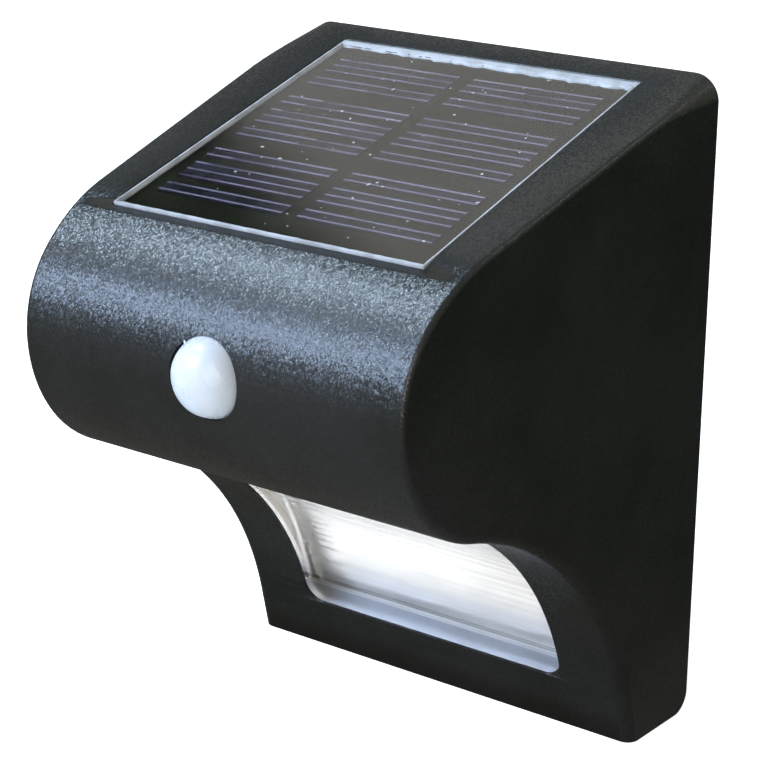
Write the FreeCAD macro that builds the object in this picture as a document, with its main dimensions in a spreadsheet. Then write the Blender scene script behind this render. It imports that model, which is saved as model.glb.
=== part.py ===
"""Solar fence light with a movement sensor.

All lengths are millimetres and all angles degrees. +X runs to the right seen from
the front, +Y points into the wall and +Z points up. The origin is the middle of the
rear face, which lies flat on the wall. Heights in this file are measured up from the
lowest edge of the light, and the helpers below move them to the origin.
"""

import FreeCAD, Part
import Sketcher
import math
import os
import re

from FreeCAD import Rotation, Vector

doc = FreeCAD.newDocument("fence_light")
sheet = doc.addObject("Spreadsheet::Sheet", "size")

# name, size, meaning
SIZES = [
    # housing outline, seen from the side
    ("body_height", 123.2, "lowest edge to the top rear edge"),
    ("wall_width", 90.0, "width at the wall"),
    ("side_taper", 3.4, "each side leans in towards the front"),
    ("top_slope", 15.5, "fall of the top face towards the front"),
    ("slope_run", 68.7, "flat length of the top face"),
    ("brow_radius", 34.0, "first bend after the top face"),
    ("brow_sweep", 29.7, "turn of the first bend"),
    ("nose_radius", 20.3, "bend round the front"),
    ("nose_sweep", 48.5, "turn of the front bend"),
    ("chin_radius", 26.6, "bend under the front"),
    ("underside_slope", 16.0, "fall of the underside towards the wall"),
    ("foot_length", 8.6, "straight stretch from the hollow bend to the lowest edge"),
    ("foot_lean", 14.0, "forward lean of the foot"),
    ("base_depth", 19.0, "depth of the lowest edge"),
    ("heel_radius", 4.0, "rounding of the lowest rear edge"),
    ("corner_round", 5.0, "rounding of the top rear corners"),
    ("corner_run", 22.0, "length over which that rounding fades"),
    ("edge_round", 1.0, "rounding of the side edges"),
    ("chin_round", 1.8, "rounding of the side edges under the nose"),
    ("soft_round", 2.4, "rounding of the cove and foot edges"),
    ("shell_wall", 2.4, "wall of the housing"),
    ("roof_wall", 4.0, "wall under the solar panel"),
    # solar panel
    ("panel_side", 12.5, "side of the light at the wall to the panel"),
    ("panel_over", 5.8, "panel beyond the flat length of the top face"),
    ("panel_setback", 6.5, "top rear edge to the panel"),
    ("panel_sink", 0.5, "panel face below the top face"),
    ("panel_gap", 0.3, "gap round the panel"),
    ("rim_width", 1.1, "pale sealing rim round the panel"),
    ("cover_sheet", 0.6, "clear sheet over the cells"),
    ("finger_height", 0.1, "printed line on a cell"),
    ("finger_width", 0.35, "printed line on a cell"),
    ("finger_pitch", 2.33, "line to line on a cell"),
    ("cell_thickness", 0.3, "silicon strip"),
    ("cell_margin", 1.3, "cell edge beyond its outer line"),
    ("cell_step", 0.87, "extra step between two cells' lines"),
    ("cell_side", 3.7, "side of the panel to a cell strip"),
    ("cell_split", 3.2, "gap between the two columns of cells"),
    ("first_line", 7.7, "front edge of the panel to the first line"),
    ("band_count", 3, "repeats of the cell pattern, the last of them not whole"),
    ("board_sheet", 1.0, "base board of the panel"),
    ("pad_thickness", 0.3, "sticky pad under the panel"),
    ("ledge_width", 3.0, "ledge that carries the panel"),
    # window and lamp
    ("window_side", 15.0, "side of the light at the wall to the window opening"),
    ("window_low", 16.0, "lower edge, as an angle about the cove's centre"),
    ("window_high", 62.0, "upper edge, as an angle about the cove's centre"),
    ("window_corner", 4.0, "corner rounding of the window"),
    ("window_sink", 0.4, "window face behind the housing face"),
    ("window_gap", 0.15, "gap round the window"),
    ("flange_lap", 3.0, "window flange behind the housing"),
    ("flange_thickness", 1.2, "window flange"),
    ("seal_thickness", 0.8, "squeezed rubber seals"),
    ("seal_width", 1.6, "width of the window seal"),
    ("reflector_wall", 1.2, "wall of the reflector"),
    ("reflector_margin", 1.5, "window opening to the inside of the reflector's sides"),
    ("reflector_back", 11.0, "wall to the reflector's lower rear edge"),
    ("reflector_lean", 10.0, "forward lean of the reflector's rear wall"),
    ("lamp_back", 1.5, "middle of the reflector's ceiling back to the row of lamps"),
    ("lamp_pitch", 13.0, "lamp to lamp"),
    ("lamp_size", 5.0, "side of a lamp"),
    ("lamp_height", 1.6, "height of a lamp"),
    ("lamp_board_gap", 0.5, "side of the reflector to the lamp board's end"),
    ("lamp_board_depth", 16.0, "lamp board, front to back"),
    ("board_thickness", 1.2, "small circuit boards"),
    # movement sensor
    ("sensor_rise", 0.1, "middle of the nose to the middle of the sensor lens"),
    ("sensor_radius", 7.0, "visible radius of the lens"),
    ("sensor_bulge", 4.0, "lens bulge beyond its rim"),
    ("sensor_seat", 0.3, "front of the nose to the lens rim"),
    ("sensor_wall", 0.8, "wall of the lens"),
    ("sensor_flange", 9.0, "radius of the lens flange"),
    ("retainer_depth", 3.0, "retainer ring, front to back"),
    ("sensor_boss", 10.6, "radius of the boss that seats the lens"),
    ("sensor_neck", 6.0, "lens rim to its flange"),
    ("flange_sheet", 1.0, "lens flange"),
    ("sensor_post_across", 12.6, "middle of the lens to a sensor post"),
    ("sensor_post_radius", 2.6, "sensor posts"),
    ("sensor_board_width", 31.0, "sensor board, across"),
    ("sensor_board_height", 18.0, "sensor board, upright"),
    ("sensor_tower", 2.5, "retainer to the sensor board"),
    ("sensor_screw_length", 11.0, "screws of the sensor"),
    ("can_radius", 4.6, "sensor can"),
    ("can_length", 4.4, "sensor can"),
    # electronics and battery
    ("main_board_side", 9.0, "side of the light at the wall to the main board"),
    ("main_board_below", 10.0, "parts below the battery to the main board's lower edge"),
    ("main_board_above", 6.2, "battery holder to the main board's upper edge"),
    ("main_board_thickness", 1.6, "main board"),
    ("standoff_height", 4.5, "rear cover to the main board"),
    ("standoff_radius", 2.5, "post under the main board"),
    ("battery_radius", 9.1, "rechargeable cell"),
    ("battery_side", 12.5, "side of the light at the wall to the cell"),
    ("battery_drop", 31.2, "top rear edge to the middle of the cell"),
    ("holder_wall", 1.5, "wall of the battery holder"),
    ("holder_gap", 0.2, "gap round the cell in its cradle"),
    ("holder_lug", 6.6, "holder's end walls beyond the middle of the cell"),
    ("holder_peg", 1.2, "radius of the holder's pegs"),
    ("nub_radius", 3.0, "raised end of the cell"),
    ("nub_length", 1.0, "raised end of the cell"),
    ("spring_length", 4.0, "squeezed battery spring"),
    ("spring_radius", 3.2, "battery spring, to the middle of its wire"),
    ("spring_wire", 0.35, "radius of the spring's wire"),
    ("spring_turns", 3.0, "turns of the spring"),
    ("contact_sheet", 0.5, "battery contact"),
    ("contact_side", 9.0, "battery contact"),
    ("chip_side", 8.0, "control chip"),
    ("chip_height", 1.6, "control chip"),
    ("chip_across", -18.0, "middle of the light to the chip"),
    ("parts_drop", 10.2, "battery holder down to the middle of the parts below it"),
    ("can_size", 3.0, "radius of a capacitor"),
    ("can_depth", 7.0, "length of a capacitor"),
    ("can_across", 16.0, "middle of the light to the first capacitor"),
    ("can_step", 8.0, "capacitor to capacitor"),
    ("coil_radius", 2.6, "charging coil"),
    ("coil_depth", 4.0, "charging coil"),
    ("coil_across", -29.0, "middle of the light to the coil"),
    # rear cover and switch
    ("cover_thickness", 2.5, "rear cover"),
    ("rim_wall", 1.4, "housing wall beside the rear cover"),
    ("rim_top", 2.2, "housing wall above the rear cover"),
    ("cover_gap", 0.2, "gap round the rear cover"),
    ("cover_corner", 4.0, "corner rounding of the rear cover"),
    ("ledge_thickness", 2.0, "ledge behind the rear cover"),
    ("seat_width", 3.0, "ledge that the rear cover lies on"),
    ("groove_inset", 1.0, "seal groove to the cover's seat edge"),
    ("groove_width", 1.2, "seal groove"),
    ("post_radius", 3.2, "screw post in the housing"),
    ("post_side", 5.6, "side of the light at the wall to a screw post"),
    ("post_low", 11.0, "height of the lower screw posts"),
    ("post_drop", 10.7, "top rear edge to the upper screw posts"),
    ("post_length", 12.0, "screw post"),
    ("reflector_post_out", 4.5, "side of the reflector to a reflector post"),
    ("reflector_post_drop", 3.8, "middle height of the reflector down to its posts"),
    ("reflector_post_depth", 16.2, "wall to the rear end of a reflector post"),
    ("reflector_post_radius", 2.6, "reflector posts"),
    ("ear_width", 8.0, "reflector ear, upright"),
    ("screw_radius", 1.25, "thread of the screws"),
    ("screw_head", 2.3, "radius of a screw head"),
    ("screw_head_depth", 1.4, "depth of a screw head"),
    ("screw_length", 9.0, "length of a cover screw"),
    ("small_screw_radius", 0.9, "thread of the small screws"),
    ("small_screw_head", 1.7, "radius of a small screw head"),
    ("small_screw_head_depth", 1.0, "depth of a small screw head"),
    ("small_screw_length", 4.5, "length of a small screw"),
    ("lamp_boss", 2.0, "radius of the posts under the lamp board"),
    ("lamp_boss_length", 3.0, "posts under the lamp board"),
    ("lamp_screw_inset", 3.4, "end of the lamp board to its screw"),
    ("standoff_side", 4.0, "side of the main board to its posts"),
    ("standoff_inset", 3.5, "upper or lower edge of the main board to its posts"),
    ("hanger_spacing", 50.0, "keyhole to keyhole"),
    ("hanger_drop", 39.2, "top rear edge to the middle of the keyholes' round entries"),
    ("hanger_entry", 4.0, "radius of the round entry"),
    ("hanger_slot", 2.1, "half width of the keyhole slot"),
    ("hanger_rise", 7.0, "entry to the end of the slot"),
    ("hanger_lip", 1.8, "plate that hangs on the screw"),
    ("hanger_room", 3.0, "room for the screw head"),
    ("hanger_floor", 0.8, "floor behind the screw head"),
    ("switch_above", 8.0, "lower edge of the main board to the middle of the switch"),
    ("switch_length", 9.0, "switch body, across"),
    ("switch_width", 4.4, "switch body, upright"),
    ("switch_depth", 4.0, "switch body, front to back"),
    ("switch_wall", 0.6, "wall of the switch body"),
    ("switch_travel", 3.0, "travel of the slider"),
    ("switch_gap", 0.25, "running gap of the slider"),
    ("slider_length", 3.8, "slider inside the switch, along its travel"),
    ("slider_width", 2.6, "slider inside the switch, upright"),
    ("slider_sheet", 0.9, "slider inside the switch"),
    ("knob_recess", 0.8, "wall face to the end of the knob"),
    ("knob_length", 2.4, "slider knob, along its travel"),
    ("knob_width", 1.6, "slider knob, upright"),
    ("slot_margin", 0.8, "finger slot beyond the knob"),
    ("wire_radius", 0.6, "insulated wire"),
    ("wire_spacing", 3.0, "wire to wire"),
    ("panel_wire_along", 22.0, "top rear edge to the panel wires, down the slope"),
    ("lamp_wire_back", 6.0, "row of lamps to the lamp wires"),
    ("lamp_wire_rise", 9.0, "lamp board to the turn of the lamp wires"),
    ("sensor_wire_across", 8.0, "middle of the light to the sensor wires"),
    ("sensor_wire_drop", 4.0, "middle of the lens down to the sensor wires"),
    ("sensor_wire_run", 17.5, "straight start and end of the sensor wires"),
    ("hole_spare", 1.0, "screw hole beyond its screw"),
    ("standoff_hole", 3.0, "depth of the holes in the main board's posts"),
    ("peg_end", 0.4, "holder peg beyond the main board"),
    ("can_brim", 0.4, "brim round the foot of the sensor can"),
]
NAMES = {name for name, _, _ in SIZES}
for row, (name, number, meaning) in enumerate(SIZES, 1):
    sheet.set(f"A{row}", name)
    sheet.set(f"B{row}", str(number))
    sheet.setAlias(f"B{row}", name)
    sheet.set(f"C{row}", meaning)
doc.recompute()

NODES = []


# ---------------------------------------------------------------- helpers

def formula(text):
    """Writes a formula on the sheet's names in the form that the document reads."""
    return re.sub(r"[a-z_]+", lambda word: "size." + word[0] if word[0] in NAMES else word[0], str(text))


def value(text):
    """Number that a formula on the sheet's names gives now."""
    return float(sheet.evalExpression(formula(text)))


def bind(thing, **properties):
    """Ties properties of an object to formulas on the sheet's names."""
    for name, text in properties.items():
        thing.setExpression(name.replace("__", "."), formula(text))


def place(thing, x="0", y="0", z="0"):
    """Ties the place of an object; z is a height above the lowest edge."""
    bind(thing, Placement__Base__x=x, Placement__Base__y=y, Placement__Base__z=f"{z} - body_height / 2")


def node(thing, label):
    """Names a finished sub-part."""
    thing.Label = label
    NODES.append(thing)
    return thing


def box(name, x, y, z, length, width, height):
    """Block with its lowest corner at x, y, z."""
    block = doc.addObject("Part::Box", name)
    bind(block, Length=length, Width=width, Height=height)
    place(block, x, y, z)
    return block


TURNS = {
    "+X": Rotation(Vector(0, 1, 0), 90),
    "+Y": Rotation(Vector(1, 0, 0), -90),
    "-Y": Rotation(Vector(1, 0, 0), 90),
    "+Z": Rotation(),
    "-Z": Rotation(Vector(1, 0, 0), 180),
}


def rod(name, axis, x, y, z, radius, height):
    """Cylinder that starts at x, y, z and runs along the axis."""
    cylinder = doc.addObject("Part::Cylinder", name)
    cylinder.Placement.Rotation = TURNS[axis]
    bind(cylinder, Radius=radius, Height=height)
    place(cylinder, x, y, z)
    return cylinder


def cone(name, axis, x, y, z, radius_1, radius_2, height):
    """Cone frustum that starts at x, y, z and runs along the axis."""
    frustum = doc.addObject("Part::Cone", name)
    frustum.Placement.Rotation = TURNS[axis]
    bind(frustum, Radius1=radius_1, Radius2=radius_2, Height=height)
    place(frustum, x, y, z)
    return frustum


def fuse(name, shapes):
    joined = doc.addObject("Part::MultiFuse", name)
    joined.Shapes = shapes
    return joined


def group(name, shapes):
    """Separate solids that share one node."""
    compound = doc.addObject("Part::Compound", name)
    compound.Links = shapes
    return compound


def cut(name, base, tools):
    """Base with the tools taken out of it."""
    result = doc.addObject("Part::Cut", name)
    result.Base = base
    result.Tool = tools[0] if len(tools) == 1 else fuse(name + "_tools", tools)
    return result


def body_on(name):
    return doc.addObject("PartDesign::Body", name)


def sketch_in(body, plane, name, offset="0"):
    """Sketch on an origin plane of its own body, moved along the plane's normal."""
    sketch = body.newObject("Sketcher::SketchObject", name)
    support = next(item for item in body.Origin.OriginFeatures if item.Role == plane)
    sketch.AttachmentSupport = [(support, "")]
    sketch.MapMode = "FlatFace"
    bind(sketch, AttachmentOffset__Base__z=offset)
    return sketch


def pin_point(sketch, edge, end, x, y):
    """Fixes one end of a sketch edge at two formulas."""
    for kind, text, axis in (("DistanceX", x, -2), ("DistanceY", y, -1)):
        if abs(value(text)) < 1e-9:
            sketch.addConstraint(Sketcher.Constraint("PointOnObject", edge, end, axis))
            continue
        row = sketch.addConstraint(Sketcher.Constraint(kind, -1, 1, edge, end, value(text)))
        sketch.setExpression(f"Constraints[{row}]", formula(text))


def outline(sketch, points, bends=None):
    """Closed outline through points given as formulas.

    bends maps the number of a side to its radius formula: the side is an arc, with
    its centre on the left of the way from one point to the next if the sign is "+".
    """
    bends = bends or {}
    places = [Vector(value(x), value(y), 0) for x, y in points]
    ends = []
    for side, start in enumerate(places):
        stop = places[(side + 1) % len(places)]
        if side not in bends:
            edge = sketch.addGeometry(Part.LineSegment(start, stop))
            ends.append((edge, 1, 2))
            continue
        sign, radius = bends[side]
        size = value(radius)
        middle = (start + stop) / 2
        along = stop - start
        rise = math.sqrt(size ** 2 - (along.Length / 2) ** 2)
        left = Vector(-along.y, along.x, 0).normalize() * rise
        centre = middle + left if sign == "+" else middle - left
        first, last = (start, stop) if sign == "+" else (stop, start)
        angles = [math.atan2(end.y - centre.y, end.x - centre.x) for end in (first, last)]
        circle = Part.Circle(centre, Vector(0, 0, 1), size)
        edge = sketch.addGeometry(Part.ArcOfCircle(circle, *angles))
        ends.append((edge, 1, 2) if sign == "+" else (edge, 2, 1))
        row = sketch.addConstraint(Sketcher.Constraint("Radius", edge, size))
        sketch.setExpression(f"Constraints[{row}]", formula(radius))
    for side, (edge, _, stop) in enumerate(ends):
        follower, start, _ = ends[(side + 1) % len(ends)]
        sketch.addConstraint(Sketcher.Constraint("Coincident", edge, stop, follower, start))
    for (edge, start, _), (x, y) in zip(ends, points):
        pin_point(sketch, edge, start, x, y)


def rounded_points(left, low, right, high, corner):
    """Points and bends of a rectangle with round corners."""
    points = [
        (f"{left} + {corner}", low), (f"{right} - {corner}", low),
        (right, f"{low} + {corner}"), (right, f"{high} - {corner}"),
        (f"{right} - {corner}", high), (f"{left} + {corner}", high),
        (left, f"{high} - {corner}"), (left, f"{low} + {corner}"),
    ]
    return points, {side: ("+", corner) for side in (1, 3, 5, 7)}


def pad(body, sketch, length, both=False, back=False):
    """Solid drawn out of a sketch, to both sides alike or to one."""
    feature = body.newObject("PartDesign::Pad", body.Name + "_pad")
    feature.Profile = sketch
    feature.SideType = "Symmetric" if both else "One side"
    feature.Reversed = back
    feature.Refine = False
    bind(feature, Length=length)
    return feature


def pocket_through(body, sketch, name):
    """Cut through the whole body, on both sides of the sketch."""
    feature = body.newObject("PartDesign::Pocket", name)
    feature.Profile = sketch
    feature.SideType = "Symmetric"
    feature.Type = "ThroughAll"
    feature.Refine = False
    return feature


def plate_upright(name, left, low, right, high, corner, rear, thickness):
    """Upright plate with round corners; rear is the depth of its rear face."""
    body = body_on(name)
    place(body)
    sketch = sketch_in(body, "XZ_Plane", name + "_outline", rear)
    outline(sketch, *rounded_points(left, low, right, high, corner))
    pad(body, sketch, thickness)
    return body


def round_tube(name, points, radius):
    """Wire along straight runs joined by tangent arcs, as one solid.

    Each arc is as large as its two runs allow.
    """
    spots = [Vector(value(x), value(y), value(f"{z} - body_height / 2")) for x, y, z in points]
    edges = []
    start = spots[0]
    for before, corner, after in zip(spots, spots[1:], spots[2:]):
        come = (corner - before).normalize()
        leave = (after - corner).normalize()
        turn = come.getAngle(leave)
        shorter = min((corner - before).Length, (after - corner).Length)
        reach = 0.45 * shorter
        bend = reach / math.tan(turn / 2)
        inward = (leave - come).normalize()
        centre = corner + inward * math.hypot(bend, reach)
        first = corner - come * reach
        last = corner + leave * reach
        edges.append(Part.LineSegment(start, first).toShape())
        edges.append(Part.Arc(first, centre + (corner - centre).normalize() * bend, last).toShape())
        print(f"{name}: bend radius {bend:.1f}")
        start = last
    edges.append(Part.LineSegment(start, spots[-1]).toShape())
    path = Part.Wire(edges)
    size = value(radius)
    ring = Part.Wire(Part.Circle(spots[0], spots[1] - spots[0], size).toShape())
    tube = path.makePipeShell([ring], True, False)
    wanted = math.pi * size ** 2 * path.Length
    print(f"{name}: {path.Length:.1f} long, volume {tube.Volume / wanted:.4f} of section times length")
    return tube


def wire_group(name, routes):
    """Node of insulated wires; a wire's route is settled by its points."""
    wires = doc.addObject("Part::Feature", name)
    wires.Shape = Part.makeCompound([round_tube(name, route, "wire_radius") for route in routes])
    return wires


def inward(axis, y, z, distance):
    """Depth and height of a point moved along an axis."""
    if axis == "-Z":
        return y, f"{z} - {distance}"
    return f"{y} {axis[0]} {distance}", z


def screws(name, axis, spots, outer, inner, head_depth, thread, length):
    """Group of like screws; a spot is the outer middle of a head, the axis points inwards."""
    solids = []
    for number, (x, y, z) in enumerate(spots):
        shank_y, shank_z = inward(axis, y, z, head_depth)
        cap = cone(f"{name}_head_{number}", axis, x, y, z, outer, inner, head_depth)
        shank = rod(f"{name}_shank_{number}", axis, x, shank_y, shank_z, thread, f"{length} - {head_depth}")
        slot = box(f"{name}_slot_{number}", f"{x} - {outer}", f"{y} - {outer} / 6", f"{z} - {outer} / 6",
                   f"2 * {outer}", f"{outer} / 3", f"{outer} / 3")
        solids.append(cut(f"{name}_{number}", fuse(f"{name}_blank_{number}", [cap, shank]), [slot]))
    return group(name, solids)


# ---------------------------------------------------------------- side view

# Centres of the bends, worked out from the top face forwards and from the foot up.
TANGENT_Y = "(-slope_run * cos(top_slope))"
TANGENT_Z = "(body_height - slope_run * sin(top_slope))"
BROW_Y = f"({TANGENT_Y} + brow_radius * sin(top_slope))"
BROW_Z = f"({TANGENT_Z} - brow_radius * cos(top_slope))"
BROW_END = "(90 - top_slope - brow_sweep)"
NOSE_Y = f"({BROW_Y} - (brow_radius - nose_radius) * cos({BROW_END}))"
NOSE_Z = f"({BROW_Z} + (brow_radius - nose_radius) * sin({BROW_END}))"
NOSE_END = "(90 - top_slope - brow_sweep - nose_sweep)"
CHIN_Y = f"({NOSE_Y} - (nose_radius - chin_radius) * cos({NOSE_END}))"
CHIN_Z = f"({NOSE_Z} + (nose_radius - chin_radius) * sin({NOSE_END}))"
CHIN_END = "(underside_slope - 90)"
UNDER_Y = f"({CHIN_Y} - chin_radius * cos({CHIN_END}))"
UNDER_Z = f"({CHIN_Z} + chin_radius * sin({CHIN_END}))"
FOOT_REACH = (
    f"((cos(underside_slope) * {UNDER_Z} + sin(underside_slope) * (base_depth + {UNDER_Y}))"
    " / cos(underside_slope + foot_lean))"
)
COVE_RADIUS = f"(({FOOT_REACH} - foot_length) / tan((90 - underside_slope - foot_lean) / 2))"
COVE_Y = f"(-base_depth - foot_length * sin(foot_lean) - {COVE_RADIUS} * cos(foot_lean))"
COVE_Z = f"(foot_length * cos(foot_lean) - {COVE_RADIUS} * sin(foot_lean))"


def on_bend(centre_y, centre_z, radius, angle):
    """Point of a bend; the angle is that of its outward normal above level."""
    return f"{centre_y} - ({radius}) * cos({angle})", f"{centre_z} + ({radius}) * sin({angle})"


def in_cove(radius, angle):
    """Point about the cove's centre; the angle is measured up from level."""
    return f"{COVE_Y} + ({radius}) * cos({angle})", f"{COVE_Z} + ({radius}) * sin({angle})"


def side_outline(skin, roof, back, heel):
    """Side view drawn in by a skin, with its own roof wall and rear limit."""
    brow = f"brow_radius - {skin}"
    nose = f"nose_radius - {skin}"
    chin = f"chin_radius - {skin}"
    cove = f"{COVE_RADIUS} + {skin}"
    start = f"(90 - top_slope - acos((brow_radius - {roof}) / ({brow})) / 1 deg)"
    roof_z = f"(body_height - {roof} / cos(top_slope))"
    foot_y, foot_z = in_cove(cove, "foot_lean")
    points = [
        (f"-({back})", f"{roof_z} - ({back}) * tan(top_slope)"),
        ("-corner_run * cos(top_slope)", f"{roof_z} - corner_run * sin(top_slope)"),
        on_bend(BROW_Y, BROW_Z, brow, start),
        on_bend(BROW_Y, BROW_Z, brow, BROW_END),
        on_bend(NOSE_Y, NOSE_Z, nose, NOSE_END),
        on_bend(CHIN_Y, CHIN_Z, chin, CHIN_END),
        in_cove(cove, "90 - underside_slope"),
        (foot_y, foot_z),
        (f"{foot_y} + ({foot_z} - {skin}) * tan(foot_lean)", skin),
    ]
    bends = {2: ("+", brow), 3: ("+", nose), 4: ("+", chin), 6: ("-", cove)}
    if heel:
        points += [(f"-{heel}", skin), (f"-({back})", heel)]
        bends[9] = ("+", heel)
    else:
        points += [(f"-({back})", skin)]
    return points, bends


def side_body(name, skin, roof, back, heel):
    """Solid of the side view, as wide as the light less the skin, with its leaning sides."""
    body = body_on(name)
    place(body)
    sketch = sketch_in(body, "YZ_Plane", name + "_side")
    outline(sketch, *side_outline(skin, roof, back, heel))
    pad(body, sketch, f"wall_width - 2 * {skin}", both=True)
    doc.recompute()
    taper = sketch_in(body, "XY_Plane", name + "_taper")
    half = f"wall_width / 2 - {skin}"
    reach = "body_height"
    for side in ("", "-"):
        corners = [
            (f"{side}({half} + {reach} * tan(side_taper))", reach),
            (f"{side}({half} - {reach} * tan(side_taper))", f"-{reach}"),
            (f"{side}({half} + 2 * {reach} * tan(side_taper))", f"-{reach}"),
            (f"{side}({half} + 2 * {reach} * tan(side_taper))", reach),
        ]
        outline(taper, corners)
    body.Tip = pocket_through(body, taper, name + "_sides")
    doc.recompute()
    return body


def rounding_at(spot):
    """Rounding wanted at a place on a side edge of the housing.

    It is wide at the top rear corner, crisp along the top and round the nose, and
    grows again below the nose into the soft edge of the cove and the foot.
    """
    height = spot.z + value("body_height") / 2
    if spot.y > -0.01:
        return value("corner_round")
    if height > value(UNDER_Z) + 0.1:
        return value("edge_round")
    if spot.y < value(in_cove(COVE_RADIUS, "90 - underside_slope")[0]) + 0.1:
        return value("chin_round")
    return value("soft_round")


def side_rounding(shape):
    """Numbers of the side edges, each with the roundings at its upper and its lower end."""
    lean = math.tan(math.radians(value("side_taper")))
    half = value("wall_width") / 2
    base = -value("body_height") / 2
    heel = value("heel_radius")
    found = []
    for number, edge in enumerate(shape.Edges, 1):
        first = edge.valueAt(edge.FirstParameter)
        last = edge.valueAt(edge.LastParameter)
        middle = edge.valueAt((edge.FirstParameter + edge.LastParameter) / 2)
        beside = all(abs(abs(spot.x) - half - spot.y * lean) < 0.01 for spot in (first, middle, last))
        along_base = middle.z < base + 0.01
        along_rear = middle.y > -0.3 * heel
        if beside and not along_base and not along_rear:
            upper, lower = sorted((first, last), key=lambda spot: -spot.z)
            found.append((number, rounding_at(upper), rounding_at(lower)))
    return found


# ---------------------------------------------------------------- shared places

HALF = "(wall_width / 2)"
COVER_HALF = "(wall_width / 2 - rim_wall)"
COVER_LOW = "(heel_radius + rim_wall)"
COVER_HIGH = "(body_height - rim_top)"
LEDGE_FRONT = "(cover_thickness + ledge_thickness)"
POSTS = [(f"{side}({HALF} - post_side)", high) for side in ("", "-")
         for high in ("post_low", "(body_height - post_drop)")]
SENSOR_POSTS = ["sensor_post_across", "-sensor_post_across"]
SENSOR_HEIGHT = f"({NOSE_Z} + sensor_rise)"
SENSOR_RIM = f"(nose_radius - {NOSE_Y} - sensor_seat)"
BOSS_REAR = f"({SENSOR_RIM} - sensor_neck)"
FLANGE_REAR = f"({BOSS_REAR} - flange_sheet)"
SENSOR_BOARD_FRONT = f"({FLANGE_REAR} - retainer_depth - sensor_tower)"
BOARD_REAR = "(cover_thickness + standoff_height)"
BOARD_FRONT = f"({BOARD_REAR} + main_board_thickness)"
WINDOW_WIDTH = "(wall_width - 2 * window_side)"
LAP_ANGLE = f"flange_lap / {COVE_RADIUS} * 180 / pi"
GAP_ANGLE = f"window_gap / {COVE_RADIUS} * 180 / pi"
SEAL_FRONT = f"({COVE_RADIUS} + shell_wall)"
FLANGE_FRONT = f"({SEAL_FRONT} + seal_thickness)"
LIP = f"({FLANGE_FRONT} + flange_thickness)"
TRAY_LOW_Y, TRAY_LOW_Z = in_cove(LIP, f"(window_low - {LAP_ANGLE})")
TRAY_HIGH_Z = in_cove(LIP, f"(window_high + {LAP_ANGLE})")[1]
CEILING = f"({TRAY_HIGH_Z} + reflector_wall)"
CEILING_REAR = f"(reflector_back + ({CEILING} - {TRAY_LOW_Z}) * tan(reflector_lean))"
CEILING_FRONT = f"(-{COVE_Y} - sqrt(pow({LIP}; 2) - pow({CEILING} - {COVE_Z}; 2)))"
LAMP_DEPTH = f"(({CEILING_REAR} + {CEILING_FRONT}) / 2 - lamp_back)"
REFLECTOR_HALF = f"({HALF} - window_side + reflector_margin)"
REFLECTOR_OUT = f"({REFLECTOR_HALF} + reflector_wall + reflector_post_out)"
REFLECTOR_POSTS = [REFLECTOR_OUT, f"-{REFLECTOR_OUT}"]
REFLECTOR_POST_HEIGHT = f"(({TRAY_LOW_Z} + {CEILING}) / 2 - reflector_post_drop)"
LAMP_BOARD_HALF = f"({REFLECTOR_HALF} - lamp_board_gap)"
LAMP_SCREWS = [f"({LAMP_BOARD_HALF} - lamp_screw_inset)", f"-({LAMP_BOARD_HALF} - lamp_screw_inset)"]
BATTERY_HEIGHT = "(body_height - battery_drop)"
BATTERY_LENGTH = "(wall_width - 2 * battery_side)"
HOLDER_REACH = "(battery_radius + holder_gap + holder_wall)"
PARTS_HEIGHT = f"({BATTERY_HEIGHT} - {HOLDER_REACH} - parts_drop)"
MAIN_BOARD_LOW = f"({PARTS_HEIGHT} - main_board_below)"
MAIN_BOARD_HIGH = f"({BATTERY_HEIGHT} + {HOLDER_REACH} + main_board_above)"
MAIN_BOARD_HALF = f"({HALF} - main_board_side)"
SWITCH_HEIGHT = f"({MAIN_BOARD_LOW} + switch_above)"
HANGER_HEIGHT = "(body_height - hanger_drop)"


# ---------------------------------------------------------------- housing

def sector(name, inner, outer, low, high, width, corner=None):
    """Curved plate about the cove's centre, with its four corners rounded."""
    body = body_on(name)
    place(body)
    sketch = sketch_in(body, "YZ_Plane", name + "_side")
    points = [in_cove(inner, low), in_cove(outer, low), in_cove(outer, high), in_cove(inner, high)]
    outline(sketch, points, {1: ("+", outer), 3: ("-", inner)})
    slab = pad(body, sketch, width, both=True)
    doc.recompute()
    if corner:
        half = value(width) / 2
        edges = [f"Edge{number}" for number, edge in enumerate(slab.Shape.Edges, 1)
                 if edge.Curve.TypeId == "Part::GeomLine" and edge.BoundBox.XLength < 0.01
                 and abs(abs(edge.CenterOfMass.x) - half) < 0.01]
        fillet = body.newObject("PartDesign::Fillet", name + "_corners")
        fillet.Base = (slab, edges)
        bind(fillet, Radius=corner)
        body.Tip = fillet
        doc.recompute()
    return body


def slope_box(name, x, along, level, length, width, height):
    """Block lying with the top face.

    along runs from the top rear edge down the slope to the block's front side, and
    level is the height of the block's underside above the top face.
    """
    block = doc.addObject("Part::Box", name)
    block.Placement.Rotation = Rotation(Vector(1, 0, 0), value("top_slope"))
    bind(block, Length=length, Width=width, Height=height, Placement__Rotation__Angle="top_slope")
    place(block, x, f"-({along}) * cos(top_slope) - ({level}) * sin(top_slope)",
          f"body_height - ({along}) * sin(top_slope) + ({level}) * cos(top_slope)")
    return block


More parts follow.
